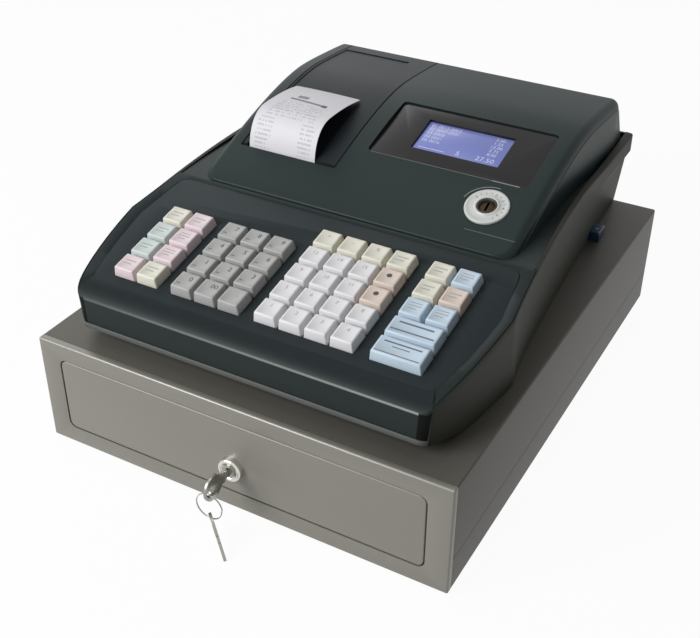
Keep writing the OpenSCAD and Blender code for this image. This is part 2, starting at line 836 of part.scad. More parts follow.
module upper_case() {
    corner = corner_y;
    front = rows(0, corner);
    ys = rows(head_front + 1, reg_d - wall - clear);
    low_z = well_h - wall;
    floor_half = [for (y = ys) [cheek_inside(y, low_z) - 0.7, y]];
    step = [deck_back - wall, deck_back];
    color([0.20, 0.22, 0.22]) in_register() difference() {
        union() {
            between(
                [for (y = front) [for (x = [-1, 1]) [x * top_half(y), y, crease(y)]]],
                [for (y = front) [for (x = [-1, 1]) [x * low_half(y), y, chin(y) + rim_h + touch]]]
            );
            difference() {
                deck_plate(corner - 1, 0);
                panel_seat();
            }
            // Wall between the deck and the floor of the well
            between(
                [for (y = step) [for (x = [-1, 1]) [x * (cheek_inside(y, deck(y)) - 0.6), y, deck(y) - 1]]],
                [for (y = step) [for (x = [-1, 1]) [x * (cheek_inside(y, low_z) - 3), y, low_z]]]
            );
            // Floor of the well
            between(
                [for (p = floor_half) [[-p[0], p[1], well_h], [p[0], p[1], well_h]]],
                [for (p = floor_half) [[-p[0], p[1], low_z], [p[0], p[1], low_z]]]
            );
            wide_box(120, [deck_back - 1, head_front + 2], [low_z, well_h]);
        }
        // Hollow behind the front face
        wide_box(face_half - 4, [wall, corner + 1], [chin_h - 2, deck_front_h - deck_t]);
        front_round();
        box([lid_left - 2.5, slot_y - 2, well_h - 5], [lid_right + 2.5, printer_back + 2, well_h + 1]);
    }
}

// Outline of the inlaid panel in the plane of the deck
module panel_outline(grow) {
    ys = steps(panel_front, panel_back, 24);
    offset(r = 8 + grow) offset(delta = -8)
        polygon(concat(
            [for (y = ys) [top_half(y) - band_w, y / cos(deck_slope)]],
            [for (i = [24 : -1 : 0]) [-top_half(ys[i]) + band_w, ys[i] / cos(deck_slope)]]
        ));
}

module panel_seat() {
    translate([0, 0, deck_front_h]) rotate([deck_slope, 0, 0]) {
        translate([0, 0, -panel_t - touch]) linear_extrude(20) panel_outline(touch * 2);
        translate([0, 0, -20]) linear_extrude(30) offset(delta = -3) panel_outline(0);
    }
}

// ---- keys ----

function col_x(c) = (c + 0.5) * pitch - bank_w / 2;
function row_y(r) = first_row + (r + 0.5) * pitch;

module key_deck() {
    color([0.22, 0.25, 0.25]) on_deck() translate([0, 0, -panel_t]) linear_extrude(panel_t)
        difference() {
            panel_outline(0);
            for (b = BANKS)
                translate([col_x(b[0] - 0.5) + key_gap / 2 - clear, first_row + key_gap / 2 - clear])
                    square([b[1] * pitch - key_gap + 2 * clear, b[2] * pitch - key_gap + 2 * clear]);
        }
}

module key_board() {
    color([0.12, 0.20, 0.15]) on_deck() {
        difference() {
            translate([-bank_w / 2 - 3, first_row - 3, -board_drop - board_t])
                cube([bank_w + 6, 5 * pitch + 6, board_t]);
            for (b = BANKS, c = [0 : b[1] - 1], r = [0 : b[2] - 1])
                translate([col_x(b[0] + c), row_y(r), -board_drop - board_t - 1])
                    cylinder(r = stem_r + fit, h = board_t + 2);
        }
        for (c = [1.75, 5.25, 9.75], r = [0, 3.6])
            translate([col_x(c), row_y(r), -board_drop - 0.5])
                cylinder(r = 3, h = board_drop - panel_t + 0.5);
    }
}

// Four-sided block that narrows towards its top
module tapered(w, d, h, taper) {
    top = [w - taper, d - taper] / 2;
    foot = [w, d] / 2;
    between(
        [for (y = [-1, 1]) [for (x = [-1, 1]) [x * top[0], y * top[1], h]]],
        [for (y = [-1, 1]) [for (x = [-1, 1]) [x * foot[0], y * foot[1], 0]]]
    );
}

// One key cap with its stem, some columns wide
module key_cap(c, r, columns = 1) {
    w = columns * pitch - key_gap;
    d = pitch - key_gap;
    h = key_h + skirt;
    cap_wall = 1.4;
    translate([col_x(c) + (columns - 1) * pitch / 2, row_y(r), -skirt]) {
        difference() {
            tapered(w, d, h, key_taper);
            translate([0, 0, -0.01]) tapered(w - 2 * cap_wall, d - 2 * cap_wall, h - cap_wall, key_taper);
        }
        for (i = [0 : columns - 1])
            translate([(i - (columns - 1) / 2) * pitch, 0, -board_drop - board_t - 1 + skirt])
                cylinder(r = stem_r, h = h + board_drop + board_t - skirt + 0.5);
    }
}

module num_key(c, r) {
    color([0.52, 0.53, 0.54]) on_deck() key_cap(2.5 + c, r);
}

// Column of keys from the front row up, one tint for each
module key_column(c, first, tints) {
    for (i = [0 : len(tints) - 1])
        color(tints[i]) on_deck() key_cap(c, first + i);
}

module left_keys_a() {
    key_column(0, 0, [pink, mint, mint, cream]);
}

module left_keys_b() {
    key_column(1, 0, [cream, pink, pink, pink]);
}

module dept_keys_a() {
    key_column(6, 0, [white, white, white, white, cream]);
}

module dept_keys_b() {
    key_column(7, 0, [white, white, white, white, cream]);
}

module dept_keys_c() {
    key_column(8, 0, [white, white, white, white, cream]);
}

module dept_keys_d() {
    key_column(9, 0, [white, white, peach, peach, cream]);
}

module pay_keys_a() {
    key_column(10.5, 2, [pale_blue, cream, cream]);
}

module pay_keys_b() {
    key_column(11.5, 2, [pale_blue, peach, pale_blue]);
}

module subtotal_key() {
    color(pale_blue) on_deck() key_cap(10.5, 1, 2);
}

module total_key() {
    color(pale_blue) on_deck() key_cap(10.5, 0, 2);
}

// ---- head ----

function head_rows(inset) = concat(
    [for (y = [0, 0.4, 1.5, 3.3, 6, 9, 12]) if (y >= inset) head_front + y],
    inset > 0 ? [head_front + inset] : [],
    [for (y = steps(head_front + 22, slant_y - 4, 24)) y],
    [for (y = [slant_y, slant_y + 6, head_back - inset]) y]
);
function sorted(v) =
    len(v) < 2 ? v : let (p = v[0])
        concat(sorted([for (x = v) if (x < p) x]), [p], sorted([for (x = v) if (x > p) x]));

// Cross-section of the head from left to right over the top
function arch(y, inset) =
    let (
        hw = head_hw(y) - inset,
        r = shoulder_r - min(inset, shoulder_r - 2),
        z = head_z(y, inset),
        left = [for (a = [0 : 22.5 : 90]) [-hw + r * (1 - cos(a)), y, z - r * (1 - sin(a))]]
    )
    concat(left, [for (i = [4 : -1 : 0]) [-left[i][0], y, left[i][2]]]);

module head_solid(inset, low) {
    ys = sorted(head_rows(inset));
    upper = [for (y = ys) arch(y, inset)];
    between(upper, [for (row = upper) [for (p = row) [p[0], p[1], low]]]);
}

// Slab that follows the crown, between two heights above it
module crown_band(x, y, z) {
    ys = steps(y[0], y[1], 20);
    between(
        [for (v = ys) [for (u = x) [u, v, head_z(v) + z[1]]]],
        [for (v = ys) [for (u = x) [u, v, head_z(v) + z[0]]]]
    );
}

module window_box(grow, low, high) {
    translate([-window_w / 2 - grow, -grow, low])
        cube([window_w + 2 * grow, window_l + 2 * grow, high - low]);
}

module head_cover() {
    ear_w = 3.6;
    left = lid_left - lid_gap;
    right = lid_right + lid_gap;
    color([0.24, 0.26, 0.26]) difference() {
        union() {
            in_register() difference() {
                head_solid(0, well_h + touch);
                head_solid(wall, well_h - 5);
            }
            on_window() window_box(2, -window_t - 2, -0.05);
            // Ears for the hinge pins of the printer cover
            in_register() for (x = [left - ear_w, right])
                box([x, lid_axis_y - 4, lid_axis_z - 4], [x + ear_w, lid_axis_y + 3, lid_axis_z + 1.2]);
        }
        on_window() window_box(touch, -window_t, 12);
        on_window() translate([lcd_x - window_x - lcd_w / 2 - 2, lcd_low() - 2, -window_t - 4])
            cube([lcd_w + 4, lcd_l + 4, 6]);
        on_dial() {
            translate([0, 0, -0.5]) cylinder(r = dial_r + touch, h = 10);
            translate([0, 0, -10]) cylinder(r = dial_barrel_r + touch, h = 20);
        }
        in_register() {
            box([left, slot_y, 60], [right, slant_y + 1, 120]);
            rod_x(left - ear_w - 1, right + ear_w + 1, lid_axis_y, lid_axis_z, lid_pin_r + fit);
        }
    }
}

// Lower edge of the display, up the window's slope
function lcd_low() = window_l - (window_back - lcd_back) / cos(window_tilt) - lcd_l;

module display_window() {
    color([0.14, 0.15, 0.15]) on_window() window_box(0, -window_t + 0.02, 0);
}

module lcd_panel() {
    color([0.42, 0.45, 0.69]) on_window()
        translate([lcd_x - window_x - lcd_w / 2, lcd_low(), -window_t - 6])
            cube([lcd_w, lcd_l, 6 - clear]);
}

module mode_dial() {
    color([0.72, 0.73, 0.71]) on_dial() difference() {
        union() {
            translate([0, 0, -0.5]) cylinder(r = dial_r, h = 2);
            translate([0, 0, -18]) cylinder(r = dial_barrel_r, h = 18);
        }
        translate([0, 0, -20]) cylinder(r = mode_plug_r + fit, h = 30);
    }
}

module mode_plug() {
    color([0.25, 0.23, 0.20]) on_dial() difference() {
        translate([0, 0, -17]) cylinder(r = mode_plug_r, h = 19.3);
        translate([-0.9, -4.2, -4]) cube([1.8, 8.4, 10]);
    }
}

// ---- printer ----

// Ramp of the scoop in front of the ticket, lowered by a wall
module scoop(x, drop, lift) {
    front = lid_front + 1.5;
    back = 229.5;
    deep = 7;
    shallow = 0.6;
    along_x(x[0], x[1]) polygon([
        [front - drop, head_z(front) - deep - drop],
        [back, head_z(back) - shallow - drop],
        [back, head_z(back) + lift],
        [front - drop, head_z(front) + lift]
    ]);
}

module printer_cover() {
    x = [lid_left, lid_right];
    color([0.27, 0.29, 0.30]) in_register() difference() {
        union() {
            crown_band(x, [lid_front, lid_back], [-wall, 0]);
            intersection() {
                scoop([lid_left + 2.5, paper_x + paper_w / 2 + 2.5], 1.2, 0);
                box([lid_left, lid_front, 40], [lid_right, 260, 99]);
            }
            for (u = [lid_left, lid_right - 4])
                box([u, lid_axis_y - 3, lid_axis_z - 2], [u + 4, lid_axis_y + 2, lid_axis_z + 1]);
            rod_x(lid_left - 3.4, lid_left + 4, lid_axis_y, lid_axis_z, lid_pin_r);
            rod_x(lid_right - 4, lid_right + 3.4, lid_axis_y, lid_axis_z, lid_pin_r);
        }
        scoop([lid_left + 4, paper_x + paper_w / 2 + 1], 0, 5);
        crown_band([lid_left + 2, paper_x + paper_w / 2 - 2.5], [225, lid_back - 14], [-0.8, 3]);
    }
}

// Side view of the ticket as it curls out of the slot and over the cover
module receipt_paper() {
    rise = [[176, 82], [177, 93], [183, 106.6], [199, 107.2]];
    fall = [[199, 107.2], [212, 107.8], [228, 107.4], [245.5, 104.4]];
    path = concat(
        [[slot_y + 1.6, 77]],
        [for (t = steps(0, 1, 8)) bow3(rise, t)],
        [for (t = steps(0.15, 1, 6)) bow3(fall, t)]
    );
    x = [paper_x - paper_w / 2, paper_x + paper_w / 2];
    last = len(path) - 1;
    side = [for (i = [0 : last])
        let (d = path[min(i + 1, last)] - path[max(i - 1, 0)])
        [-d[1], d[0]] / norm(d) * paper_t];
    color([0.91, 0.91, 0.93]) in_register() between(
        [for (i = [0 : last]) [for (u = x) [u, path[i][0] + side[i][0], path[i][1] + side[i][1]]]],
        [for (i = [0 : last]) [for (u = x) [u, path[i][0], path[i][1]]]]
    );
}

function bow3(p, t) =
    p[0] * (1 - t) ^ 3 + 3 * p[1] * t * (1 - t) ^ 2 + 3 * p[2] * t ^ 2 * (1 - t) + p[3] * t ^ 3;

module paper_roll() {
    color([0.92, 0.92, 0.90]) in_register() difference() {
        rod_x(paper_x - paper_w / 2, paper_x + paper_w / 2, roll_y, roll_z, roll_r);
        rod_x(paper_x - paper_w, paper_x + paper_w, roll_y, roll_z, spindle_r + fit);
    }
}

module printer_frame() {
    left = lid_left;
    right = lid_right;
    plate = 2;
    flange_z = well_h + touch;
    flange = [5, 4, 1.5];
    color([0.55, 0.56, 0.56]) in_register() difference() {
        union() {
            difference() {
                box([left, slot_y, printer_low], [right, printer_back, well_h + clear + 1]);
                box([left + plate, slot_y + plate, printer_low + plate],
                    [right - plate, printer_back - plate, well_h + 9]);
            }
            // Flange that lies on the floor of the well
            difference() {
                box([left - flange[0], slot_y - flange[1], flange_z],
                    [right + flange[0], printer_back + flange[1], flange_z + flange[2]]);
                box([left + plate, slot_y + plate, well_h - 1],
                    [right - plate, printer_back - plate, well_h + 9]);
            }
            // Plates that carry the platen and the spindle
            for (x = [frame_left, frame_right])
                box([x, slot_y + 1, printer_low + 1], [x + plate, roll_y + 9, platen_z + 8]);
            rod_x(frame_left, frame_right + plate, roll_y, roll_z, spindle_r);
        }
        rod_x(frame_left - 1, frame_right + plate + 1, platen_y, platen_z, axle_r + fit);
        rod_x(frame_right - 1, frame_right + plate + 1, platen_y, motor_z, axle_r);
        // Room for the gear at the front edge
        rod_x(gear_x - clear, gear_x + gear_w + clear, platen_y, platen_z, gear_tip(platen_teeth) + clear);
    }
}

function gear_tip(teeth) = tooth_module * (teeth / 2 + 0.85);

// Spur gear along X with straight-sided teeth
module gear(teeth, width, turn) {
    r = tooth_module * teeth / 2;
    root = r - 1.1 * tooth_module;
    tip = gear_tip(teeth);
    rotate([90, 0, 90]) linear_extrude(width) rotate(turn) {
        circle(root + 0.02);
        for (i = [0 : teeth - 1])
            rotate(i * 360 / teeth)
                polygon([
                    [root - 0.5, -0.85 * tooth_module],
                    [tip, -0.38 * tooth_module],
                    [tip, 0.38 * tooth_module],
                    [root - 0.5, 0.85 * tooth_module]
                ]);
    }
}

module platen_roller() {
    color([0.15, 0.15, 0.15]) in_register() {
        rod_x(frame_left + 2.5, frame_right - 0.5, platen_y, platen_z, platen_r);
        rod_x(frame_left - 0.5, gear_x + gear_w, platen_y, platen_z, axle_r);
        translate([gear_x, platen_y, platen_z]) gear(platen_teeth, gear_w, -90);
    }
}

module drive_gear() {
    color([0.83, 0.82, 0.78]) in_register() {
        translate([gear_x, platen_y, motor_z]) gear(pinion_teeth, gear_w, 90 + 180 / pinion_teeth);
        rod_x(frame_right - 0.3, gear_x + 1, platen_y, motor_z, 1.5);
    }
}

module printer_motor() {
    color([0.45, 0.45, 0.46]) in_register() difference() {
        rod_x(frame_right - 34, frame_right, platen_y, motor_z, gear_reach - platen_r - clear);
        rod_x(frame_right - 2, frame_right + 1, platen_y, motor_z, 1.5 + fit);
    }
}

// ---- electronics ----

module main_board() {
    x = [-20, 100];
    y = [185, 315];
    post = 6;
    sunk = board_z + 1;
    color([0.10, 0.26, 0.16]) in_register() {
        box([x[0], y[0], board_z], [x[1], y[1], board_z + 1.6]);
        for (u = [x[0] + post, x[1] - post], v = [y[0] + post, y[1] - post])
            translate([u, v, wall]) cylinder(r = post / 2, h = sunk - wall - 0.5);
        for (p = [[10, 210], [46, 210], [10, 250]])
            box([p[0], p[1], sunk], [p[0] + 26, p[1] + 20, sunk + 4]);
        // Socket of the memory stick
        box([94, stick_y - stick_w / 2 - 1, sunk],
            [stick_in - clear, stick_y + stick_w / 2 + 1, board_z + 9]);
    }
}

module power_supply() {
    half = 32;
    block = [reg_d - 50.5, reg_d - 20.5];
    color([0.50, 0.42, 0.20]) in_register() {
        translate([inlet_x, 0, 0]) wide_box(half, block, [wall + touch, inlet_high + 8]);
        color([0.12, 0.12, 0.12]) difference() {
            translate([inlet_x, 0, 0]) wide_box(inlet_half, [block[1] - 1, reg_d], inlet_rise(0));
            translate([inlet_x, 0, 0]) wide_box(inlet_half - 2, [reg_d - 16, reg_d + 1], inlet_rise(-2));
        }
        for (x = [-6, 0, 6])
            translate([inlet_x + x - 1, reg_d - 17, 21]) cube([2, 9, 6]);
    }
}

module memory_stick() {
    out = cheek_inside(stick_y, stick_z + stick_h / 2) + cheek_wall + stick_out;
    color([0.07, 0.13, 0.22]) in_register() {
        box([stick_in, stick_y - 6, stick_z + 2.4], [stick_in + 12, stick_y + 6, stick_z + stick_h - 2.4]);
        box([stick_in + 11, stick_y - stick_w / 2, stick_z], [out, stick_y + stick_w / 2, stick_z + stick_h]);
    }
}

case_shell();
case_pan();
front_frame();
case_feet();
case_rails();
case_screws();
drawer_tub();
drawer_front();
cash_tray();
clip_rod();
bill_clips();
drawer_lock();
lock_plug();
drawer_key();
key_ring();
spare_key();
release_solenoid();
latch_hook();
kick_spring();
lower_case();
upper_case();
key_deck();
key_board();
num_key(0, 3);  // num_key_7
num_key(1, 3);  // num_key_8
num_key(2, 3);  // num_key_9
num_key(0, 2);  // num_key_4
num_key(1, 2);  // num_key_5
num_key(2, 2);  // num_key_6
num_key(0, 1);  // num_key_1
num_key(1, 1);  // num_key_2
num_key(2, 1);  // num_key_3
num_key(0, 0);  // num_key_0
num_key(1, 0);  // num_key_00
num_key(2, 0);  // num_key_dot
left_keys_a();
left_keys_b();
dept_keys_a();
dept_keys_b();
dept_keys_c();
dept_keys_d();
pay_keys_a();
pay_keys_b();
subtotal_key();
total_key();
head_cover();
display_window();
lcd_panel();
mode_dial();
mode_plug();
printer_cover();
receipt_paper();
paper_roll();
printer_frame();
platen_roller();
drive_gear();
printer_motor();
main_board();
power_supply();
memory_stick();
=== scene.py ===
import math

import bpy
from mathutils import Matrix, Vector


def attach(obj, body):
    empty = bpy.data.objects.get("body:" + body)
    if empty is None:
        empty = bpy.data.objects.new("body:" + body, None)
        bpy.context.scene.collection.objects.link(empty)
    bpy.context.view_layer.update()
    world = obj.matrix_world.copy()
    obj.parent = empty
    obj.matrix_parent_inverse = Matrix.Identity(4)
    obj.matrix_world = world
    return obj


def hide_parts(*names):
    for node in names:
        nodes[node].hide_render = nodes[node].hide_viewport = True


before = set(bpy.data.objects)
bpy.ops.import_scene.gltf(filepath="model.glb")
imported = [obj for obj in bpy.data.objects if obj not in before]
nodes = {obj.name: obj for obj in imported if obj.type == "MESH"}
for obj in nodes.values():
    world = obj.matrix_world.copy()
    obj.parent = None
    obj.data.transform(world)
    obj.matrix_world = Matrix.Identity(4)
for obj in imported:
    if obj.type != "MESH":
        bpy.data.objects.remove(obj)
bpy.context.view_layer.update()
MM = 0.001

# ---- camera, floor and lamps ----


def make_camera():
    data = bpy.data.cameras.new("camera")
    data.lens = 58.36
    data.sensor_width = 36
    data.clip_start = 0.01
    camera = bpy.data.objects.new("camera", data)
    bpy.context.scene.collection.objects.link(camera)
    place = Vector((0.3465, -0.63805, 0.5428))
    aim = Vector((-0.00776, -0.0031, 0.05335))
    turn = (aim - place).to_track_quat("-Z", "Y").to_matrix().to_4x4()
    roll = Matrix.Rotation(math.radians(0.282), 4, "Z")
    camera.matrix_world = Matrix.Translation(place) @ turn @ roll
    bpy.context.scene.camera = camera


def lamp(name, place, aim, size, power):
    """Rectangular lamp that looks at a point."""
    data = bpy.data.lights.new(name, "AREA")
    data.shape = "RECTANGLE"
    data.size, data.size_y = size
    data.energy = power
    o = bpy.data.objects.new(name, data)
    bpy.context.scene.collection.objects.link(o)
    o.location = place
    o.rotation_euler = (Vector(aim) - Vector(place)).to_track_quat("-Z", "Y").to_euler()


make_camera()
lamp("key_lamp", (-0.95, -1.5, 1.15), (0, 0, 0.08), (1.1, 0.9), 38)
lamp("back_lamp", (-1.3, 1.3, 1.2), (0, 0.05, 0.1), (1.4, 0.8), 5.5)
lamp("top_lamp", (-0.3, 0.1, 2.0), (0, 0, 0.1), (0.9, 0.9), 4)

# ---- shader maths ----


class Value:
    """A socket in a material, with arithmetic."""

    def __init__(self, recipe, socket):
        self.recipe, self.socket = recipe, socket

    def maths(self, operation, *others):
        sockets = {str(i): v for i, v in enumerate((self,) + others)}
        return self.recipe.node("ShaderNodeMath", {"operation": operation}, **sockets)

    def __add__(self, other):
        return self.maths("ADD", other)

    def __sub__(self, other):
        return self.maths("SUBTRACT", other)

    def __mul__(self, other):
        return self.maths("MULTIPLY", other)

    def __truediv__(self, other):
        return self.maths("DIVIDE", other)

    def __rsub__(self, other):
        sockets = {"0": other, "1": self}
        return self.recipe.node("ShaderNodeMath", {"operation": "SUBTRACT"}, **sockets)

    __radd__, __rmul__ = __add__, __mul__

    def above(self, limit):
        return self.maths("GREATER_THAN", limit)

    def fraction(self):
        return self.maths("FRACT")

    def between(self, low, high):
        return self.above(low) * (1 - self.above(high))


class Recipe:
    """One material, made node by node."""

    def __init__(self, name, color, roughness=0.5, **constants):
        self.material = bpy.data.materials.new(name)
        self.material.use_nodes = True
        self.tree = self.material.node_tree
        self.shader = self.tree.nodes["Principled BSDF"]
        self.material.diffuse_color = (*color, 1)
        self.set(Base_Color=(*color, 1), Roughness=roughness, **constants)

    def plug(self, target, value):
        if isinstance(value, Value):
            self.tree.links.new(value.socket, target)
        else:
            target.default_value = value

    def set(self, **values):
        """Sets the shader's sockets, with _ for a space in their names."""
        for name, value in values.items():
            self.plug(self.shader.inputs[name.replace("_", " ")], value)

    def node(self, kind, settings=None, out=0, **inputs):
        """Any node: its settings, its output, and the values or links of its sockets."""
        made = self.tree.nodes.new(kind)
        for name, value in (settings or {}).items():
            setattr(made, name, value)
        for name, value in inputs.items():
            key = int(name) if name.isdigit() else name.replace("_", " ")
            self.plug(made.inputs[key], value)
        return Value(self, made.outputs[out])

    def places(self, scale=(1, 1, 1)):
        spot = self.node("ShaderNodeTexCoord", out="Object")
        return self.node("ShaderNodeMapping", Vector=spot, Scale=scale)

    def axes(self, spot):
        made = self.tree.nodes.new("ShaderNodeSeparateXYZ")
        self.plug(made.inputs[0], spot)
        return [Value(self, out) for out in made.outputs]

    def noise(self, scale, detail, spot=None):
        sockets = {"Scale": scale, "Detail": detail, "Roughness": 0.55}
        return self.node("ShaderNodeTexNoise", out="Fac", Vector=spot or self.places(), **sockets)

    def blend(self, factor, a, b):
        made = self.tree.nodes.new("ShaderNodeMix")
        made.data_type = "RGBA"
        for key, value in ((0, factor), (6, a), (7, b)):
            self.plug(made.inputs[key], value)
        return Value(self, made.outputs[2])

    def bump(self, height, strength, distance):
        sockets = {"Height": height, "Strength": strength, "Distance": distance}
        self.set(Normal=self.node("ShaderNodeBump", **sockets))


def tone(*levels):
    """sRGB levels out of 255 as a linear colour."""
    parts = [v / 255 for v in levels]
    return tuple(v / 12.92 if v <= 10 / 255 else ((v + 0.055) / 1.055) ** 2.4 for v in parts)


def shade(color, factor=1):
    """A colour for a socket, made lighter or darker."""
    return tuple(min(1, c * factor) for c in color) + (1,)


def moulded(name, color, roughness=0.42, grain=0.25, specular=0.5, wear=0.06):
    """Moulded plastic with a fine spark-eroded grain and slightly cloudy gloss."""
    r = Recipe(name, color, roughness)
    r.set(Specular_IOR_Level=specular)
    cloud = r.noise(9, 4)
    fine = r.noise(1900, 2)
    pits = r.noise(700, 2)
    r.set(Base_Color=r.blend(cloud, shade(color, 1 - wear), shade(color, 1 + wear)))
    r.set(Roughness=roughness - 0.07 + cloud * 0.08 + fine * 0.06)
    r.bump(fine * 0.5 + pits * 0.5, grain, 0.00012)
    return r.material


def painted(name, color, roughness=0.42, metallic=0.35, flake=0.10, specular=0.5):
    """Baked metallic paint on steel: fine flakes, faint orange peel."""
    r = Recipe(name, color, roughness, Metallic=metallic, Specular_IOR_Level=specular)
    flakes = r.noise(2600, 2)
    peel = r.noise(420, 3)
    cloud = r.noise(6, 3)
    spark = r.blend(flakes, shade(color, 1 - flake), shade(color, 1 + flake))
    r.set(Base_Color=r.blend(cloud * 0.35, spark, shade(color, 1.10)))
    r.set(Roughness=roughness - 0.05 + flakes * 0.10)
    r.bump(peel * 0.7 + flakes * 0.3, 0.16, 0.00016)
    return r.material


def bare_metal(name, color, roughness=0.28, scale=(30, 900, 900), depth=0.1):
    """Plated or rolled metal with fine lines along one way."""
    r = Recipe(name, color, roughness, Metallic=1.0)
    lines = r.noise(1, 3, r.places(scale))
    stain = r.noise(60, 4)
    r.set(Base_Color=r.blend(stain, shade(color, 0.86), shade(color, 1.08)))
    r.set(Roughness=roughness - 0.06 + lines * 0.12 + stain * 0.05)
    r.bump(lines, depth, 0.00005)
    return r.material


def rubber(name, color):
    """Dull rubber with dust on it."""
    r = Recipe(name, color, 0.75)
    dust = r.noise(120, 5)
    r.set(Base_Color=r.blend(dust, shade(color, 0.8), shade(color, 1.8)))
    r.set(Roughness=0.62 + dust * 0.25)
    r.bump(r.noise(900, 2), 0.3, 0.0001)
    return r.material


IN_MM = (1 / MM, 1 / MM, 1 / MM)
DOT = 0.55
EDGE_LENGTH = 0.254
PAPER_WHITE = tone(217, 216, 221)
PRINT_LINES, PRINT_CELLS = 26, 46


def printed_paper():
    """Thermal paper with short faint rows across it, read along the sheet's own map."""
    r = Recipe("ticket_paper", PAPER_WHITE, 0.62)
    sheet = r.node("ShaderNodeTexCoord", out="UV")
    u, v, _ = r.axes(sheet)
    line = (v * PRINT_LINES).maths("FLOOR")
    cell = (u * PRINT_CELLS).maths("FLOOR")
    place = r.node("ShaderNodeCombineXYZ", X=cell, Y=line)
    ink = r.node("ShaderNodeTexWhiteNoise", {"noise_dimensions": "2D"}, Vector=place)
    stroke = r.noise(1, 2, r.node("ShaderNodeMapping", Vector=sheet, Scale=(210, 150, 1)))
    items = (u.between(0.07, 0.30) + u.between(0.72, 0.92)) * v.between(0.06, 0.33)
    heading = u.between(0.14, 0.86) * v.between(0.36, 0.60)
    rows = (v * PRINT_LINES).fraction().between(0.30, 0.72)
    text = rows * (items * ink.above(0.2) + heading * ink.above(0.45)) * stroke.above(0.44)
    bent = v + u * u * 0.05
    bar = u.between(0.22, 0.80) * bent.between(0.660, 0.690)
    bar += u.between(0.72, 0.80) * bent.between(0.650, 0.698)
    smudge = u.between(0.28, 0.44) * v.between(0.71, 0.765) * stroke.above(0.40)
    fibre = r.noise(300, 4)
    paper = r.blend(fibre, shade(PAPER_WHITE, 0.97), shade(PAPER_WHITE, 1.03))
    marks = text * 0.36 + (bar + smudge) * 0.8
    r.set(Base_Color=r.blend(marks, paper, shade(tone(62, 62, 70))))
    r.bump(fibre, 0.1, 0.0001)
    return r.material


def display_blue():
    """Backlit blue glass with faint dot rows."""
    r = Recipe("display_blue", tone(96, 106, 172), 0.25)
    x, y, _ = r.axes(r.places(IN_MM))
    dots = (x / DOT).fraction().between(0.12, 0.9) * (y / DOT).fraction().between(0.12, 0.9)
    blue = r.blend(r.noise(26, 2), shade(tone(100, 111, 178)), shade(tone(124, 133, 194)))
    r.set(Base_Color=r.blend(dots * 0.4, blue, shade(tone(84, 94, 156))))
    r.set(Emission_Color=blue, Emission_Strength=0.16)
    return r.material


def worn_edge():
    """Painted highlight along the front edge, brightest at the right."""
    r = Recipe("worn_edge", tone(110, 116, 114), 0.34, Specular_IOR_Level=0.4)
    x, _, _ = r.axes(r.places((1 / EDGE_LENGTH, 1, 1)))
    highlight_ramp = x + 0.5 + (r.noise(160, 3) - 0.5) * 0.25
    r.set(Base_Color=r.blend(highlight_ramp, shade(tone(66, 74, 72)), shade(tone(134, 138, 136))))
    r.bump(r.noise(1900, 2), 0.15, 0.0001)
    return r.material


def board_green():
    """Circuit board with two sets of tracks across each other."""
    r = Recipe("circuit_board", tone(24, 74, 44), 0.4)
    x, y, _ = r.axes(r.places(IN_MM))
    tracks = (x / 5.08).fraction().between(0.42, 0.56) + (y / 7.62).fraction().between(0.44, 0.54)
    r.set(Base_Color=r.blend(tracks * 0.5, shade(tone(24, 74, 44)), shade(tone(40, 104, 60))))
    r.bump(tracks, 0.3, 0.0001)
    return r.material


PAINT_FRONT = painted("paint_front", tone(127, 125, 117), 0.42, 0.25)
# A lighter paint that stands for the highlight on the case's top front edge.
PAINT_EDGE_HIGHLIGHT = painted("paint_edge_highlight", tone(150, 149, 144), 0.36, 0.25)
PAINT_CASE = painted("paint_case", tone(91, 89, 83), 0.48, 0.05, 0.10, 0.2)
DARK = moulded("dark_plastic", tone(26, 36, 35), 0.42, 0.25, 0.18)
PANEL = moulded("panel_plastic", tone(41, 48, 50), 0.5, 0.15, 0.08)
HEAD = moulded("head_plastic", tone(31, 42, 42), 0.42, 0.25, 0.15)
LID = moulded("lid_plastic", tone(31, 37, 40), 0.44, 0.25, 0.14)
CHEEK = moulded("cheek_plastic", tone(50, 51, 45), 0.52, 0.3, 0.09)
# The rim's lighter grey is partly its own tone and partly a painted highlight.
RIM_GREY_AND_HIGHLIGHT = moulded("rim_grey_and_highlight", tone(86, 88, 86), 0.46, 0.2, 0.2)
# A painted highlight on the crisp front edge of the body.
EDGE = worn_edge()
# A near-black plastic that paints shade on the front corners.
CORNER_SHADE = moulded("corner_painted_shade", tone(18, 20, 20), 0.5, 0.2, 0.05)
# A darker copy of the body plastic, as painted shade on the frame's upward faces.
BORDER_SHADE = moulded("border_painted_shade", tone(22, 31, 32), 0.42, 0.25, 0.13)
GLOSS = moulded("window_gloss", tone(30, 28, 28), 0.22, 0.02, 0.22, 0.1)
DIAL = moulded("dial_white", tone(200, 203, 200), 0.35, 0.1)
INK = moulded("ink_dark", tone(58, 58, 62), 0.5, 0.05)
FAINT_INK = moulded("ink_faint", tone(158, 158, 160), 0.5, 0.05)
DEEP_INK = moulded("ink_deep", tone(92, 106, 120), 0.5, 0.05)
WEAK_INK_AND_HIGHLIGHT = moulded("ink_weak_and_highlight", tone(88, 92, 92), 0.5, 0.05)
PALE_INK_AND_HIGHLIGHT = moulded("ink_pale_and_highlight", tone(140, 148, 148), 0.5, 0.05)
BLACK = moulded("black_plastic", tone(26, 27, 27), 0.5)
TRAY = moulded("tray_plastic", tone(34, 34, 36), 0.5, 0.4)
TUB = painted("tub_paint", tone(84, 86, 86), 0.5, 0.2)
GREEN = board_green()
PAPER = printed_paper()
ROLL = moulded("roll_paper", tone(228, 227, 230), 0.7, 0.15)
BLUE = display_blue()
PALE_BLUE = moulded("display_figures", tone(205, 210, 240), 0.4, 0.02)
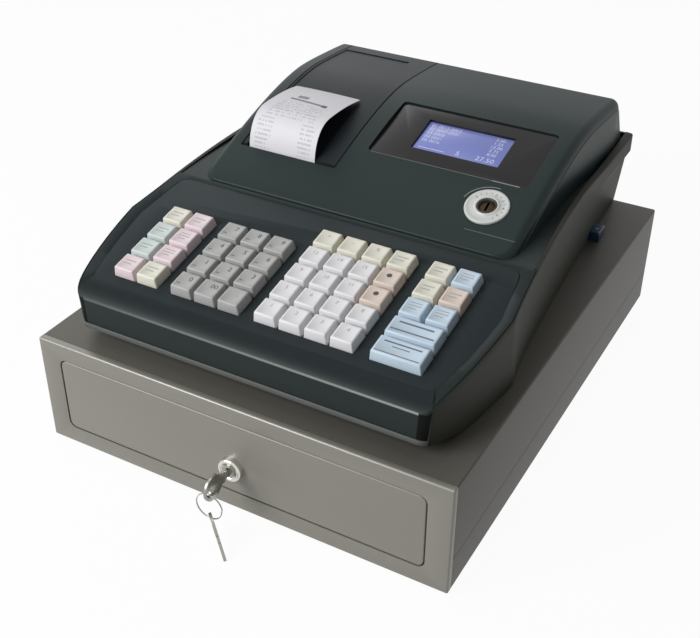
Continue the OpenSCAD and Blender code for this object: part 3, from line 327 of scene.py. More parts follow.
CHROME = bare_metal("chrome", tone(214, 213, 208), 0.16, (300, 300, 300), 0.04)
NICKEL = bare_metal("nickel", tone(160, 158, 151), 0.26)
BRASS = bare_metal("brass", tone(66, 55, 40), 0.5)
ZINC = bare_metal("zinc", tone(176, 178, 178), 0.36)
STEEL = bare_metal("steel_sheet", tone(140, 142, 141), 0.4)
COPPER = bare_metal("copper_winding", tone(150, 96, 62), 0.35, (20, 20, 2400), 0.5)
RUBBER = rubber("foot_rubber", (0.02, 0.02, 0.02))
ROLLER = rubber("roller_rubber", (0.035, 0.035, 0.037))
NYLON = moulded("gear_nylon", tone(214, 211, 200), 0.45)
STICK = moulded("stick_blue", tone(14, 54, 84), 0.28, 0.1)
TINTS = {
    "grey": tone(166, 166, 165),
    "white": tone(220, 219, 221),
    "cream": tone(218, 216, 202),
    "peach": tone(212, 197, 186),
    "blue": tone(192, 209, 223),
    "pink": tone(220, 205, 209),
    "mint": tone(196, 207, 203),
}
KEY_PLASTIC = {
    name: moulded("key_" + name, color, 0.38, 0.08, 0.35, 0.03) for name, color in TINTS.items()
}

# ---- shaping by hand ----


def at_rest():
    if bpy.context.object and bpy.context.object.mode != "OBJECT":
        bpy.ops.object.mode_set(mode="OBJECT")
    bpy.ops.object.select_all(action="DESELECT")


def active(o):
    at_rest()
    o.select_set(True)
    bpy.context.view_layer.objects.active = o


def edit(o, faces=None):
    """Edit mode with the faces that a test picks, or with everything."""
    active(o)
    mesh = o.data
    for group in (mesh.polygons, mesh.edges, mesh.vertices):
        for e in group:
            e.select = faces is None
    if faces:
        for p in mesh.polygons:
            p.select = bool(faces(p.center / MM, p.normal))
    bpy.context.tool_settings.mesh_select_mode = (not faces, False, bool(faces))
    bpy.ops.object.mode_set(mode="EDIT")


def done():
    bpy.ops.object.mode_set(mode="OBJECT")


def outwards():
    """Turns the faces of the shape in edit mode outwards, and leaves edit mode."""
    bpy.ops.mesh.select_all(action="SELECT")
    bpy.ops.mesh.normals_make_consistent(inside=False)
    done()


def close_ends():
    """Fills the open ends of the shape in edit mode."""
    bpy.ops.mesh.select_all(action="DESELECT")
    bpy.ops.mesh.select_mode(type="EDGE")
    bpy.ops.mesh.select_non_manifold(extend=False)
    bpy.ops.mesh.fill_holes(sides=0)


def apply_place(o):
    active(o)
    bpy.ops.object.transform_apply(location=True, rotation=True, scale=True)


def new_name(name):
    o = bpy.context.object
    o.name = name
    o.data.name = name
    return o


def block(name, low, high, at=None):
    """Box between two corners."""
    at_rest()
    middle = [(a + b) / 2 * MM for a, b in zip(low, high)]
    bpy.ops.mesh.primitive_cube_add(size=1, location=middle)
    bpy.context.object.scale = [(b - a) * MM for a, b in zip(low, high)]
    o = new_name(name)
    apply_place(o)
    if at:
        o.data.transform(at)
    return o


def drum(name, radius, low, high, at, sides=64):
    """Round block along Z, about the origin of the frame at."""
    at_rest()
    bpy.ops.mesh.primitive_cylinder_add(
        vertices=sides,
        radius=radius * MM,
        depth=(high - low) * MM,
        location=(0, 0, (low + high) / 2 * MM),
    )
    o = new_name(name)
    apply_place(o)
    o.data.transform(at)
    return o


def modify(o, kind, **settings):
    active(o)
    m = o.modifiers.new(kind.lower(), kind)
    for name, value in settings.items():
        setattr(m, name, value)
    bpy.ops.object.modifier_apply(modifier=m.name)


def carve(o, *tools, operation="DIFFERENCE"):
    """Cuts shapes out of a piece, or adds them to it, and uses them up."""
    for tool in tools:
        modify(o, "BOOLEAN", object=tool, operation=operation, solver="EXACT")
        bpy.data.objects.remove(tool)


def soften(o, width, segments=2, angle=30):
    """Rounds the edges where faces meet at more than an angle."""
    limit = math.radians(angle)
    modify(o, "BEVEL", width=width * MM, segments=segments, limit_method="ANGLE", angle_limit=limit)
    return smooth(o)


def smooth(o, angle=38):
    active(o)
    bpy.ops.object.shade_smooth_by_angle(angle=math.radians(angle))
    return o


def face_out(o):
    """Turns a closed shape the right way round where its volume comes out negative."""
    if sum(f.center.dot(f.normal) * f.area for f in o.data.polygons) < 0:
        edit(o)
        bpy.ops.mesh.flip_normals()
        done()


def skin(name, sections, at, ring=False):
    """Skin over a row of closed sections, in millimetres.
    It starts as a flat grid whose points go to their places.
    ring closes the row of sections; otherwise its two ends are filled."""
    rows = sections + [sections[0]] if ring else sections
    rows = [list(s) + [s[0]] for s in rows]
    at_rest()
    bpy.ops.mesh.primitive_grid_add(
        x_subdivisions=len(rows[0]) - 1, y_subdivisions=len(rows) - 1, size=1
    )
    o = new_name(name)
    for v, spot in zip(o.data.vertices, (p for s in rows for p in s)):
        v.co = Vector(spot) * MM
    edit(o)
    bpy.ops.mesh.remove_doubles(threshold=0.002 * MM)
    if not ring:
        close_ends()
    outwards()
    face_out(o)
    o.data.transform(at)
    return o


def outline(name, points, low, high, at):
    """Flat plate of an outline in X and Y, from one height to another."""
    at_rest()
    bpy.ops.mesh.primitive_circle_add(vertices=len(points), radius=1, fill_type="NGON")
    o = new_name(name)
    for v, (x, y) in zip(o.data.vertices, points):
        v.co = Vector((x, y, low)) * MM
    edit(o)
    up = {"value": (0, 0, (high - low) * MM)}
    bpy.ops.mesh.extrude_region_move(TRANSFORM_OT_translate=up)
    outwards()
    o.data.transform(at)
    return o


def turned(name, profile, at):
    """A closed ring of (radius, height) points turned about Z."""
    at_rest()
    bpy.ops.mesh.primitive_circle_add(vertices=len(profile), radius=1)
    o = new_name(name)
    for v, (r, z) in zip(o.data.vertices, profile):
        v.co = Vector((r, 0, z)) * MM
    edit(o)
    bpy.ops.mesh.spin(steps=72, angle=2 * math.pi, center=(0, 0, 0), axis=(0, 0, 1))
    bpy.ops.mesh.select_all(action="SELECT")
    bpy.ops.mesh.remove_doubles(threshold=0.002 * MM)
    outwards()
    o.data.transform(at)
    return o


def join(first, *others):
    """Makes several pieces one."""
    active(first)
    for o in others:
        o.select_set(True)
    bpy.ops.object.join()
    return first


def copy_of(name, source):
    """A node's mesh as a piece of its own, its doubles merged and its flat faces made whole."""
    o = bpy.data.objects.new(name, source.data.copy())
    bpy.context.scene.collection.objects.link(o)
    edit(o)
    bpy.ops.mesh.remove_doubles(threshold=0.004 * MM)
    bpy.ops.mesh.dissolve_limited(angle_limit=math.radians(1.5))
    done()
    return o


def paint(o, *materials):
    o.data.materials.clear()
    for m in materials:
        o.data.materials.append(m)
    return o


def dress(o, body, node, slot, *materials):
    """Puts a finished piece on its body, and in place of a node if it names one."""
    if materials:
        paint(o, *materials)
    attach(o, body)
    if node:
        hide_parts(node)
    return o


def figures(name, text, size, at, depth=0.05, align="CENTER"):
    """Plain figures as a thin raised plate, lying in the frame at."""
    at_rest()
    bpy.ops.object.text_add()
    o = bpy.context.object
    o.data.body = text
    o.data.size = size * MM
    o.data.align_x = align
    o.data.align_y = "CENTER"
    o.data.extrude = depth * MM
    o.data.resolution_u = 3
    active(o)
    bpy.ops.object.convert(target="MESH")
    o = new_name(name)
    o.data.transform(at)
    edit(o)
    bpy.ops.mesh.remove_doubles(threshold=0.001 * MM)
    outwards()
    return o


def shift(x, y, z):
    """A move, in millimetres."""
    return Matrix.Translation(Vector((x, y, z)) * MM)


def tilt(degrees, axis="X"):
    return Matrix.Rotation(math.radians(degrees), 4, axis)


# ---- places, in millimetres and degrees ----
# The register's own frame starts at the middle of its front edge, at the foot of its side.
# A chain is a row of quadratic curves, each given by its start, its pull and its end.

CASE_Y = -176.85
REG_Y = -161.35
REG_Z = 89.0
DECK_H, SLOPE = 39.6, math.radians(11)

# Half widths of the body at its upper and lower edge, then heights along it:
# the crease on top of the cheek, the foot of the chin, and the head.
TOP_PLAN = [
    [(0, 127), (0, 133.6), (6, 136)],
    [(6, 136), (33.6, 146), (86.5, 150.6)],
    [(86.5, 150.6), (139.5, 142.3), (382.5, 132)],
]
LOW_PLAN = [
    [(0, 126), (0, 131.5), (7, 134)],
    [(7, 134), (32.5, 143.5), (97.5, 149.8)],
    [(97.5, 149.8), (130.5, 139), (382.5, 124)],
]
CREASE = [
    [(0, 39.6), (64.5, 55.5), (114.5, 62.8)],
    [(114.5, 62.8), (174.5, 73.2), (234.5, 73.0)],
    [(234.5, 73.0), (249.5, 72.8), (284.5, 68.6)],
    [(284.5, 68.6), (324.5, 64.2), (382.5, 62.5)],
]
CHIN = [[(0, 10.5), (27.25, 0), (54.5, 0)], [(54.5, 0), (200, 0), (382.5, 0)]]
HEAD_FRONT, SLANT_Y, SLANT_Z, SLANT = 138.1, 349, 103.1, 1.586
CROWN = [
    [(HEAD_FRONT, 67), (236.6, 107.2), (284.5, 107.2)],
    [(284.5, 107.2), (301.5, 107.2), (SLANT_Y, SLANT_Z)],
]

DECK_BACK, CORNER = 136.9, 3.3
PANEL_FRONT, PANEL_BACK, PANEL_CORNER, FRAME_W = 13.5, 132, 8, 9
RISE_END = 12
FRONT_RISE = [[(0, 34.4), (6.3, 40.8), (RISE_END, 41.93)]]
HEAD_HALF, HEAD_CORNER, SHOULDER, WELL = 126.2, 12, 7, 51
IN_REGISTER = shift(0, REG_Y, REG_Z)
ON_DECK = IN_REGISTER @ shift(0, 0, DECK_H) @ tilt(math.degrees(SLOPE))
WINDOW_BACK, WINDOW_SLOPE, WINDOW_LENGTH = 259.2, 14.7, 62.8
WINDOW_TOP = IN_REGISTER @ shift(47, WINDOW_BACK, 104)
ON_WINDOW = WINDOW_TOP @ tilt(WINDOW_SLOPE) @ shift(0, -WINDOW_LENGTH, 0)


def read(chain, y):
    """Value of a chain of curves at a place."""
    for a, b, c in chain:
        if y <= c[0] or (a, b, c) == tuple(chain[-1]):
            break
    p, q, r = a[0] - 2 * b[0] + c[0], 2 * (b[0] - a[0]), a[0] - y
    t = -r / q if abs(p) < 0.001 else (-q + math.sqrt(max(0, q * q - 4 * p * r))) / (2 * p)
    return a[1] * (1 - t) ** 2 + 2 * b[1] * t * (1 - t) + c[1] * t * t


def mix(a, b, t):
    return a + (b - a) * t


def clamp(v):
    return min(1, max(0, v))


def spread(low, high, count):
    """Even steps from one number to another, both ends with it."""
    return [mix(low, high, i / count) for i in range(count + 1)]


def lean(y):
    """How far the lower edge of the side runs behind the upper one."""
    return 11 * max(0, 1 - abs(y - 86.5) / 75)


def top_half(y):
    """Half width at the upper edge."""
    return read(TOP_PLAN, y)


def low_half(y):
    """Half width at the lower edge."""
    return read(LOW_PLAN, y)


def crease(y):
    return read(CREASE, y)


def chin(y):
    return read(CHIN, y)


def deck(y):
    return DECK_H + y * math.tan(SLOPE)


def deck_top(y):
    """Top of the frame round the keys: its rounded front, then the deck."""
    return read(FRONT_RISE, y) if y < RISE_END else deck(y)


def edge_top(y):
    """Top edge of the body, from the crisp edge of the front face into the crease."""
    return mix(deck_top(y), crease(y), clamp((y - 6) / 10))


def ledge(y):
    """Width of the cheek's top edge."""
    return mix(3, 7, clamp((y - 140) / 242.5))


def crown(y):
    """Height of the head along its length."""
    return min(read(CROWN, min(y, SLANT_Y)), SLANT_Z - SLANT * (y - SLANT_Y))


def head_half(y):
    """Half width of the head, with its rounded front corners."""
    side = min(HEAD_HALF, cheek_inside(y, WELL) - 0.3)
    s = HEAD_CORNER - clamp((y - HEAD_FRONT) / HEAD_CORNER) * HEAD_CORNER
    return side - HEAD_CORNER + math.sqrt(max(0, HEAD_CORNER**2 - s * s))


def cheek_inside(y, z):
    """Inner face of the cheek."""
    return mix(low_half(y) - 3, top_half(y) - ledge(y), clamp(z / crease(y)))


DIAL_X, DIAL_Y = 91.2, 174.1
DIAL_SLOPE = math.atan((crown(DIAL_Y + 1) - crown(DIAL_Y - 1)) / 2)
ON_DIAL = shift(DIAL_X, DIAL_Y + REG_Y, crown(DIAL_Y) + REG_Z) @ Matrix.Rotation(DIAL_SLOPE, 4, "X")


def around(x, y, r, degrees):
    """Point on a circle."""
    return x + r * math.cos(math.radians(degrees)), y + r * math.sin(math.radians(degrees))


def rounded_rect(half, low, high, r):
    """Outline of a rectangle with round corners, from one height to another."""
    points = []
    x, bottom, top = half - r, low + r, high - r
    for cx, cy, start in ((x, top, 0), (-x, top, 90), (-x, bottom, 180), (x, bottom, 270)):
        points += [around(cx, cy, r, a) for a in spread(start, start + 90, 6)]
    return points


def in_register(point):
    """A mesh point in the register's own frame, in millimetres."""
    return point / MM - Vector((0, REG_Y, REG_Z))


IN_CASE = shift(0, CASE_Y, 0)
UPRIGHT = IN_CASE @ tilt(90)
ON_LOCK = UPRIGHT @ shift(0, 38.4, 0)
PITCH, KEY_GAP, TAPER, KEY_H, SKIRT, FIRST_ROW = 18.9, 1.2, 2.4, 7, 2.2, 22.3

# ---- drawer case ----

CASE_HALF, CASE_LENGTH, CASE_TOP, SHEET = 160, 398, 89, 1.2
OPENING = rounded_rect(143.2, 16.4, 76.4, 6)


def open_up(o, faces):
    """Takes away the faces that a test picks."""
    edit(o, faces)
    bpy.ops.mesh.delete(type="FACE")
    done()


def thicken(o, even=True):
    """Gives an open form the thickness of sheet, inwards."""
    modify(o, "SOLIDIFY", thickness=SHEET * MM, offset=-1, use_even_offset=even)


def make_case():
    low, high = (-CASE_HALF, 5.3, 29.2), (CASE_HALF, CASE_LENGTH, CASE_TOP)
    cover = block("case_cover", low, high, IN_CASE)
    open_up(cover, lambda c, n: n.z < -0.5 or n.y < -0.5)
    soften(cover, 1.6, 4)
    thicken(cover)
    dress(smooth(cover), "base", "case_shell", "case_paint", PAINT_CASE)

    pan = block("case_bottom", (-CASE_HALF, 5.3, 2.5), (CASE_HALF, CASE_LENGTH, 28.8), IN_CASE)
    open_up(pan, lambda c, n: n.z > 0.5 or n.y < -0.5)
    soften(pan, 1.6, 4)
    thicken(pan)
    lap = block("case_lap", (-158.7, 5.4, 20), (158.7, 396.7, 36.5), IN_CASE)
    open_up(lap, lambda c, n: abs(n.z) > 0.5 or n.y < -0.5)
    thicken(lap, even=False)
    join(pan, lap)
    dress(smooth(pan), "base", "case_pan", "case_paint", PAINT_CASE)

    border = block("front_border", (-CASE_HALF, 0, 2.5), (CASE_HALF, 5, CASE_TOP), IN_CASE)
    open_up(border, lambda c, n: n.y > 0.5)
    soften(border, 1.3, 4)
    thicken(border)
    carve(border, outline("cut", OPENING, -2, 1, UPRIGHT))
    collar = outline("collar", rounded_rect(144.4, 15.2, 77.6, 7.2), -8, -1.0, UPRIGHT)
    carve(collar, outline("cut", OPENING, -9, 0, UPRIGHT))
    join(border, collar)
    soften(border, 0.45, 2, 60)
    paint(border, PAINT_FRONT, PAINT_EDGE_HIGHLIGHT)
    # Bevels along the top front edge get the lighter paint as a painted highlight.
    for face in border.data.polygons:
        highlit = 0.2 < -face.normal.y < 0.97 and face.normal.z > 0.2 and face.center.z > 0.087
        face.material_index = 1 if highlit else 0
    dress(border, "base", "front_frame", "front_paint")


def softened_copy(name, body, node, width, slot, material):
    """A node's own form with its edges rounded."""
    o = copy_of(name, nodes[node])
    dress(soften(o, width, 2, 50), body, node, slot, material)


def make_drawer():
    panel = outline("drawer_panel", rounded_rect(142.3, 17.3, 75.5, 5.1), -14, 0, UPRIGHT)
    open_up(panel, lambda c, n: n.y > 0.5)
    soften(panel, 1.0, 4, 60)
    thicken(panel)
    carve(panel, drum("cut", 8, -3, 2, ON_LOCK))
    carve(panel, block("cut", (-7, 9, 16), (7, 13.2, 19), IN_CASE))
    dress(smooth(panel), "drawer", "drawer_front", "front_paint", PAINT_FRONT)
    softened_copy("coin_tray", "drawer", "cash_tray", 0.6, "tray_plastic", TRAY)
    softened_copy("drawer_box", "drawer", "drawer_tub", 0.35, "tub_paint", TUB)
    softened_copy("note_holders", "note_clips", "bill_clips", 0.4, "tray_plastic", BLACK)


def make_lock():
    profile = [(5.05, -8), (7.8, -8), (7.8, 0), (9, 0), (9, 3.3), (8.8, 4.1), (8.3, 4.7)]
    profile += [(7.5, 5), (6.6, 4.9), (6.1, 4.5), (5.8, 4.1), (5.05, 4.0)]
    barrel = turned("lock_barrel", profile, ON_LOCK)
    dress(smooth(barrel, 50), "drawer", "drawer_lock", "lock_chrome", CHROME)
    softened_copy("lock_core", "lock_turn", "lock_plug", 0.35, "key_nickel", NICKEL)
    softened_copy("key_in_lock", "lock_turn", "drawer_key", 0.3, "key_nickel", NICKEL)
    softened_copy("key_on_ring", "spare", "spare_key", 0.3, "key_nickel", NICKEL)

    wire, rise = 0.28, 0.56
    at_rest()
    bpy.ops.mesh.primitive_circle_add(
        vertices=10,
        radius=wire * MM,
        rotation=(math.radians(90), 0, 0),
        location=(10.07 * MM, 0, -rise * MM),
    )
    ring = new_name("split_ring")
    apply_place(ring)
    turns = {"angle": 2 * math.pi, "iterations": 2, "screw_offset": rise * MM}
    modify(ring, "SCREW", steps=72, axis="Z", **turns)
    edit(ring)
    bpy.ops.mesh.remove_doubles(threshold=0.002 * MM)
    close_ends()
    outwards()
    ring.data.transform(UPRIGHT @ shift(0, 26.33, 28))
    dress(smooth(ring, 60), "ring", "key_ring", "zinc_steel", ZINC)


# ---- register body ----


def cheek_section(y):
    """Closed section of the lower moulding: outer side, floor, and inner side, both ways."""
    fade, yb, h = clamp((y - 280) / 100), y + lean(y), edge_top(y)
    xt, xb, zb = top_half(y), low_half(yb), chin(yb)
    end = max(0, y - 379.5)
    trim = 3 - math.sqrt(max(0, 9 - end * end))
    step = [(14, mix(xt, xb, 14 / h) + 1.8 * fade), (20, mix(xt, xb, 20 / h) - fade)]
    fixed = [(0, xt), *step, (h - zb, xb)]

    def outer(d):
        """Point of the outer side at a depth below its top edge."""
        for (d0, x0), (d1, x1) in zip(fixed, fixed[1:]):
            if d <= d1:
                return (mix(x0, x1, (d - d0) / (d1 - d0)) - trim, mix(y, yb, d / h), h - d)
        return (xb - trim, yb, zb)

    wide = ledge(y) if y > DECK_BACK + 0.3 else 0.95
    low_in = xb - 3
    right = [(xt - 0.9 - trim if wide > 1 else xt - 0.5, y, h), (xt - 0.2 - trim, y, h - 0.2)]
    right += [outer(d) for d in (0.9, 6, 13.2, 14, 14.8, 19.2, 20, 21, 30)]
    right += [outer(mix(30, h - zb, t)) for t in (0.4, 0.75)]
    right += [(outer(h - zb - 1.2)[0], yb, zb + 1.2)]
    right += [(xb - 0.35 - trim, yb, zb + 0.35), (xb - 1.2 - trim, yb, zb)]
    inner = [
        (low_in, yb, zb + 2.5),
        (mix(xt - ledge(y), low_in, 8 / h), y, h - 8),
        (xt - max(wide, 0.95), y, h - 5.6),
        (xt - wide, y, h - 0.5),
        (xt - wide + 0.35, y, h),
    ]
    left = [(-x, b, z) for x, b, z in reversed(right)]
    return right + left + [(-x, b, z) for x, b, z in reversed(inner)] + inner


def corner_path():
    """Plan of the front from left to right: (share of the half width, place)."""
    ys = [CORNER, 2.6, 2.0, 1.4, 0.9, 0.5, 0.2, 0.05, 0]
    front = [(s, 0) for s in (-0.8, -0.4, 0, 0.4, 0.8)]
    return [(-1, y) for y in ys] + front + [(1, y) for y in reversed(ys)]


def facing(half, y):
    """Outward direction in plan of the right side at a place."""
    a, b = max(0, y - 0.02), y + 0.02
    rise = (half(b) - half(a)) / (b - a)
    return Vector((1, -rise)).normalized()


def make_cheeks():
    ys = [CORNER + 0.1, 4, 4.8, 5.8, 7, 8, 9, 10.5, 12, 14, 16]
    ys += [18.5, 21, 24, 27, 30, 34, 38, 42, 46, 50, 54.5]
    ys += spread(58, DECK_BACK - 0.3, 22) + [DECK_BACK + 0.1, DECK_BACK + 0.5]
    ys += spread(140, 376, 44) + [379.4, 380.7, 381.6, 382.2, 382.5]
    body = skin("cheeks", [cheek_section(y) for y in ys], IN_REGISTER)
    ring = [(0.5, 0.3), (0.8, 0.7), (0.8, 3.7), (0.5, 4.2)]
    ring += [(-0.2, 4.5), (-6, 4.5), (-6, 0.2), (0.1, 0.1)]
    strip = []
    for s, y in corner_path():
        n = facing(low_half, y) if abs(s) == 1 else Vector((0, -1))
        n.x *= s
        x, z = s * low_half(y), chin(y)
        section = []
        for out, up in ring:
            section.append((x + n.x * out, y + n.y * out if y < CORNER else y, z + up))
        strip.append(section)
    rim = skin("rim", strip, IN_REGISTER)
    walls = []
    for y in (382.4, 380):
        high, low = top_half(y) - 3, low_half(y) - 3
        corners = [(high, crease(y) - 0.3), (low, 0.2), (-low, 0.2), (-high, crease(y) - 0.3)]
        walls.append([(x, y, z) for x, z in corners])
    rear = skin("rear", walls, IN_REGISTER)
    carve(rear, block("cut", (-94.2, 378, 13.8), (-65.8, 384, 34.2), IN_REGISTER))
    for z in spread(22, 46, 8):
        carve(rear, block("cut", (30, 378, z), (90, 384, z + 1.4), IN_REGISTER))
    carve(body, block("cut", (120, 298.2, 2.3), (160, 312.8, 12.9), IN_REGISTER))
    join(body, rim, rear)
    paint(body, CHEEK, DARK, RIM_GREY_AND_HIGHLIGHT)
    for face in body.data.polygons:
        x, y, z = in_register(face.center)
        inward = face.normal.x * x < -0.001 and abs(x) > 100 and y > DECK_BACK
        floor = face.normal.z > 0.8 and z < 30
        # The chin rim gets the lighter grey, partly its own tone and partly a painted highlight.
        chin_rim = y < CORNER and z < 16
        face.material_index = 1 if inward or floor else 2 if chin_rim else 0
    dress(smooth(body, 40), "base", "lower_case", "cheek_plastic")


def surround_half():
    """Right half of the frame around the key panel, as rows of
    (point, outward direction, inner point, kind)."""
    shares = (0, 0.35, 0.7, 0.9)
    path = [((s * 127, 0), (0, -1), (s * 124, PANEL_FRONT), "front") for s in shares]
    cy = PANEL_FRONT + PANEL_CORNER
    cx = top_half(cy) - FRAME_W - PANEL_CORNER
    corner = (0, 0.05, 0.2, 0.5, 0.9, 1.4, 2.0, 2.6, 3.3, 3.7, 4.4, 5.3, 6.5, 8, 10, 13, 16.5)
    for i, y in enumerate(corner):
        n = facing(top_half, y) if y > 0 else Vector((0, -1))
        spot = around(cx, cy, PANEL_CORNER, 90 * i / (len(corner) - 1) - 90)
        path.append(((top_half(y), y), tuple(n), spot, "front" if y <= CORNER else "side"))
    for y in (23, 28, 34, 40, 48, 57, 66, 76, 86, 96, 106, 115, 122):
        inside = (top_half(y) - FRAME_W, y)
        path.append(((top_half(y), y), tuple(facing(top_half, y)), inside, "side"))
    cx, cy = top_half(128) - FRAME_W - PANEL_CORNER, PANEL_BACK - PANEL_CORNER
    for a in (0, 15, 30, 44.9, 45.1, 60, 75, 90):
        r = math.radians(a)
        spot = around(cx, cy, PANEL_CORNER, a)
        if a < 45:
            y = mix(cy, DECK_BACK, math.tan(r))
            path.append(((top_half(y), y), (1, 0), spot, "side"))
        else:
            x = mix(cx, top_half(DECK_BACK), math.tan(math.pi / 2 - r))
            path.append(((x, DECK_BACK), (0, 1), spot, "back"))
    for x in (90, 45, 0):
        path.append(((x, DECK_BACK), (0, 1), (x, PANEL_BACK), "back"))
    return path


SOFT_EDGE = [(0.7 * (1 - math.cos(a)), 0.7 * math.sin(a) - 0.75) for a in spread(0, 1.45, 7)]


def surround_section(spot, n, inner, kind):
    """Closed section of the frame, from its foot over its top to the key panel's seat."""
    x, y = spot
    u, v = inner
    if kind == "front":
        low = (low_half(y) * x / top_half(y), y, chin(y) + 4.7)
        rise = []
        for e, d in ((0, 1.2), (0.12, 0.6), (0.4, 0.15), (0.8, 0)):
            rise.append((x - n[0] * e, y - n[1] * e, edge_top(y - n[1] * e) - d))
        for t in (0.2, 0.45, 0.7, 0.9):
            rise.append((mix(x, u, t), mix(y, v, t), deck_top(mix(y, v, t))))
        base = (low[0] - n[0] * 2.4, low[1] - n[1] * 2.4, low[2])
        wall = (x - n[0] * 2.6, y - n[1] * 2.6, 31)
    elif kind == "side":
        x -= 1.05
        top = edge_top(y)
        rise = [(x - e, y, top + d) for e, d in SOFT_EDGE]
        low = (x, y, top - 4.6)
        base = (x - 1.5, y, top - 4.8)
        wall = (x - 1.6, y, top - 4.7)
    else:
        top = deck(y)
        rise = [(x, y - 1.4 * e, top + 1.4 * d) for e, d in SOFT_EDGE]
        low = (min(x, cheek_inside(y, 49) - 1), y, 49)
        base = (low[0], y - 2.4, 49)
        wall = (x, y - 2.5, top - 5)
    deep = Vector((x - u, y - v)).normalized()
    lip = groove_gap(v) * 0.8
    z = deck(v)
    seat = [(u + deep.x * lip, v + deep.y * lip, z), (u, v, z - lip), (u, v, z - 2.25)]
    below = (u - deep.x * 3, v - deep.y * 3)
    under = deck(below[1])
    seat += [(*below, under - 2.25), (*below, under - 4.4)]
    return [low] + rise + seat + [wall, base]


def groove_gap(y):
    """The groove around the key panel is a hairline in front and opens towards the back."""
    return mix(0.06, 0.45, clamp((y - 95) / 35))


def make_dark_body():
    half = surround_half()
    right = [surround_section(*p) for p in half]
    left = [[(-x, y, z) for x, y, z in s] for s in reversed(right[1:-1])]
    body = skin("dark_body", right + left, IN_REGISTER, ring=True)
    rows = []
    for y in [136] + spread(139, 379.6, 36):
        w = cheek_inside(y, 48.5) - 0.7
        rows.append([(w, y, WELL), (-w, y, WELL), (-w, y, 48.5), (w, y, 48.5)])
    floor = skin("floor", rows, IN_REGISTER)
    carve(floor, block("cut", (-114.5, 172, 40), (-28.5, 313, 60), IN_REGISTER))
    ledges = []
    for side, depth in ((-1, 2), (1, 7)):
        rows = []
        for y in [136.6] + spread(139, 378, 36):
            top = crease(y) - mix(0.8, depth, clamp((y - 140) / 60))
            near = side * (head_half(max(y, HEAD_FRONT)) - 1.2)
            far = side * (cheek_inside(y, top) - 0.1)
            ends = [(near, top - 3), (far, top - 3), (far, top), (near, top - 0.6)]
            rows.append([(x, y, z) for x, z in ends])
        ledges.append(skin("ledge", rows, IN_REGISTER))
    join(body, floor, *ledges)
    paint(body, DARK, EDGE, CORNER_SHADE, BORDER_SHADE, PANEL)
    for face in body.data.polygons:
        x, y, z = in_register(face.center)
        if y < 1 and abs(x) < 127 and 33 < z < 34.6 and face.normal.y < -0.1:
            face.material_index = 1  # the painted highlight on the edge above the front face
        elif y < CORNER and abs(x) > 127 and z < 34 and face.normal.y < -0.05:
            face.material_index = 2  # the corners that turn to the sides, darkened as painted shade
        elif y < 137 and face.normal.z > 0.3 and z > deck(y) - 4:
            face.material_index = 4 if x < -100 and y > 16 else 3  # the top of the frame, darkened as painted shade, with the lighter panel colour at the left as painted light
    dress(smooth(body, 34), "base", "upper_case", "dark_plastic")


# Banks of keys: first column, columns and rows, in key pitches.
BANKS = [(0, 2, 4), (2.5, 3, 4), (6, 4, 5), (10.5, 2, 5)]


def col_x(c):
    """Middle of a key column."""
    return (c + 0.5) * PITCH - 12.5 * PITCH / 2


def row_y(r):
    """Middle of a key row, along the deck."""
    return FIRST_ROW + (r + 0.5) * PITCH


def make_panel():
    inner = [Vector(p[2]) for p in surround_half()]
    right = []
    for i, spot in enumerate(inner):
        along = (inner[min(i + 1, len(inner) - 1)] - inner[max(i - 1, 0)]).normalized()
        gap = groove_gap(spot.y)
        right.append((spot.x - along.y * gap, spot.y + along.x * gap))
    right[0], right[-1] = (0, right[0][1]), (0, right[-1][1])
    points = right + [(-x, y) for x, y in reversed(right[1:-1])]
    cos = math.cos(SLOPE)
    plate = outline("key_panel", [(x, y / cos) for x, y in points], -2, 0, ON_DECK)
    for c, columns, rows in BANKS:
        x, y = col_x(c - 0.5) + 0.3, FIRST_ROW + 0.3
        far = (x + columns * PITCH - 0.6, y + rows * PITCH - 0.6, 4)
        carve(plate, block("cut", (x, y, -4), far, ON_DECK))
    soften(plate, 0.06, 2, 50)
    dress(plate, "base", "key_deck", "panel_plastic", PANEL)


# ---- keys ----


def key_cap(name, columns):
    """A keycap with a slanted skirt and a shallow dish, one or more columns wide."""
    w, d = columns * PITCH - KEY_GAP, PITCH - KEY_GAP
    cap = block(name, (-w / 2, -d / 2, -SKIRT), (w / 2, d / 2, KEY_H))
    edit(cap, faces=lambda c, n: n.z > 0.5)
    shrink = ((w - TAPER) / w, (d - TAPER) / d, 1)
    bpy.ops.transform.resize(value=shrink, center_override=(0, 0, KEY_H * MM))
    done()
    soften(cap, 1.0, 4)
    edit(cap, faces=lambda c, n: n.z > 0.99)
    bpy.ops.mesh.inset(thickness=0.55 * MM, depth=0)
    bpy.ops.mesh.inset(thickness=0.25 * MM, depth=-0.18 * MM)
    done()
    return cap


CAPS = {1: key_cap("cap_one", 1), 2: key_cap("cap_two", 2)}


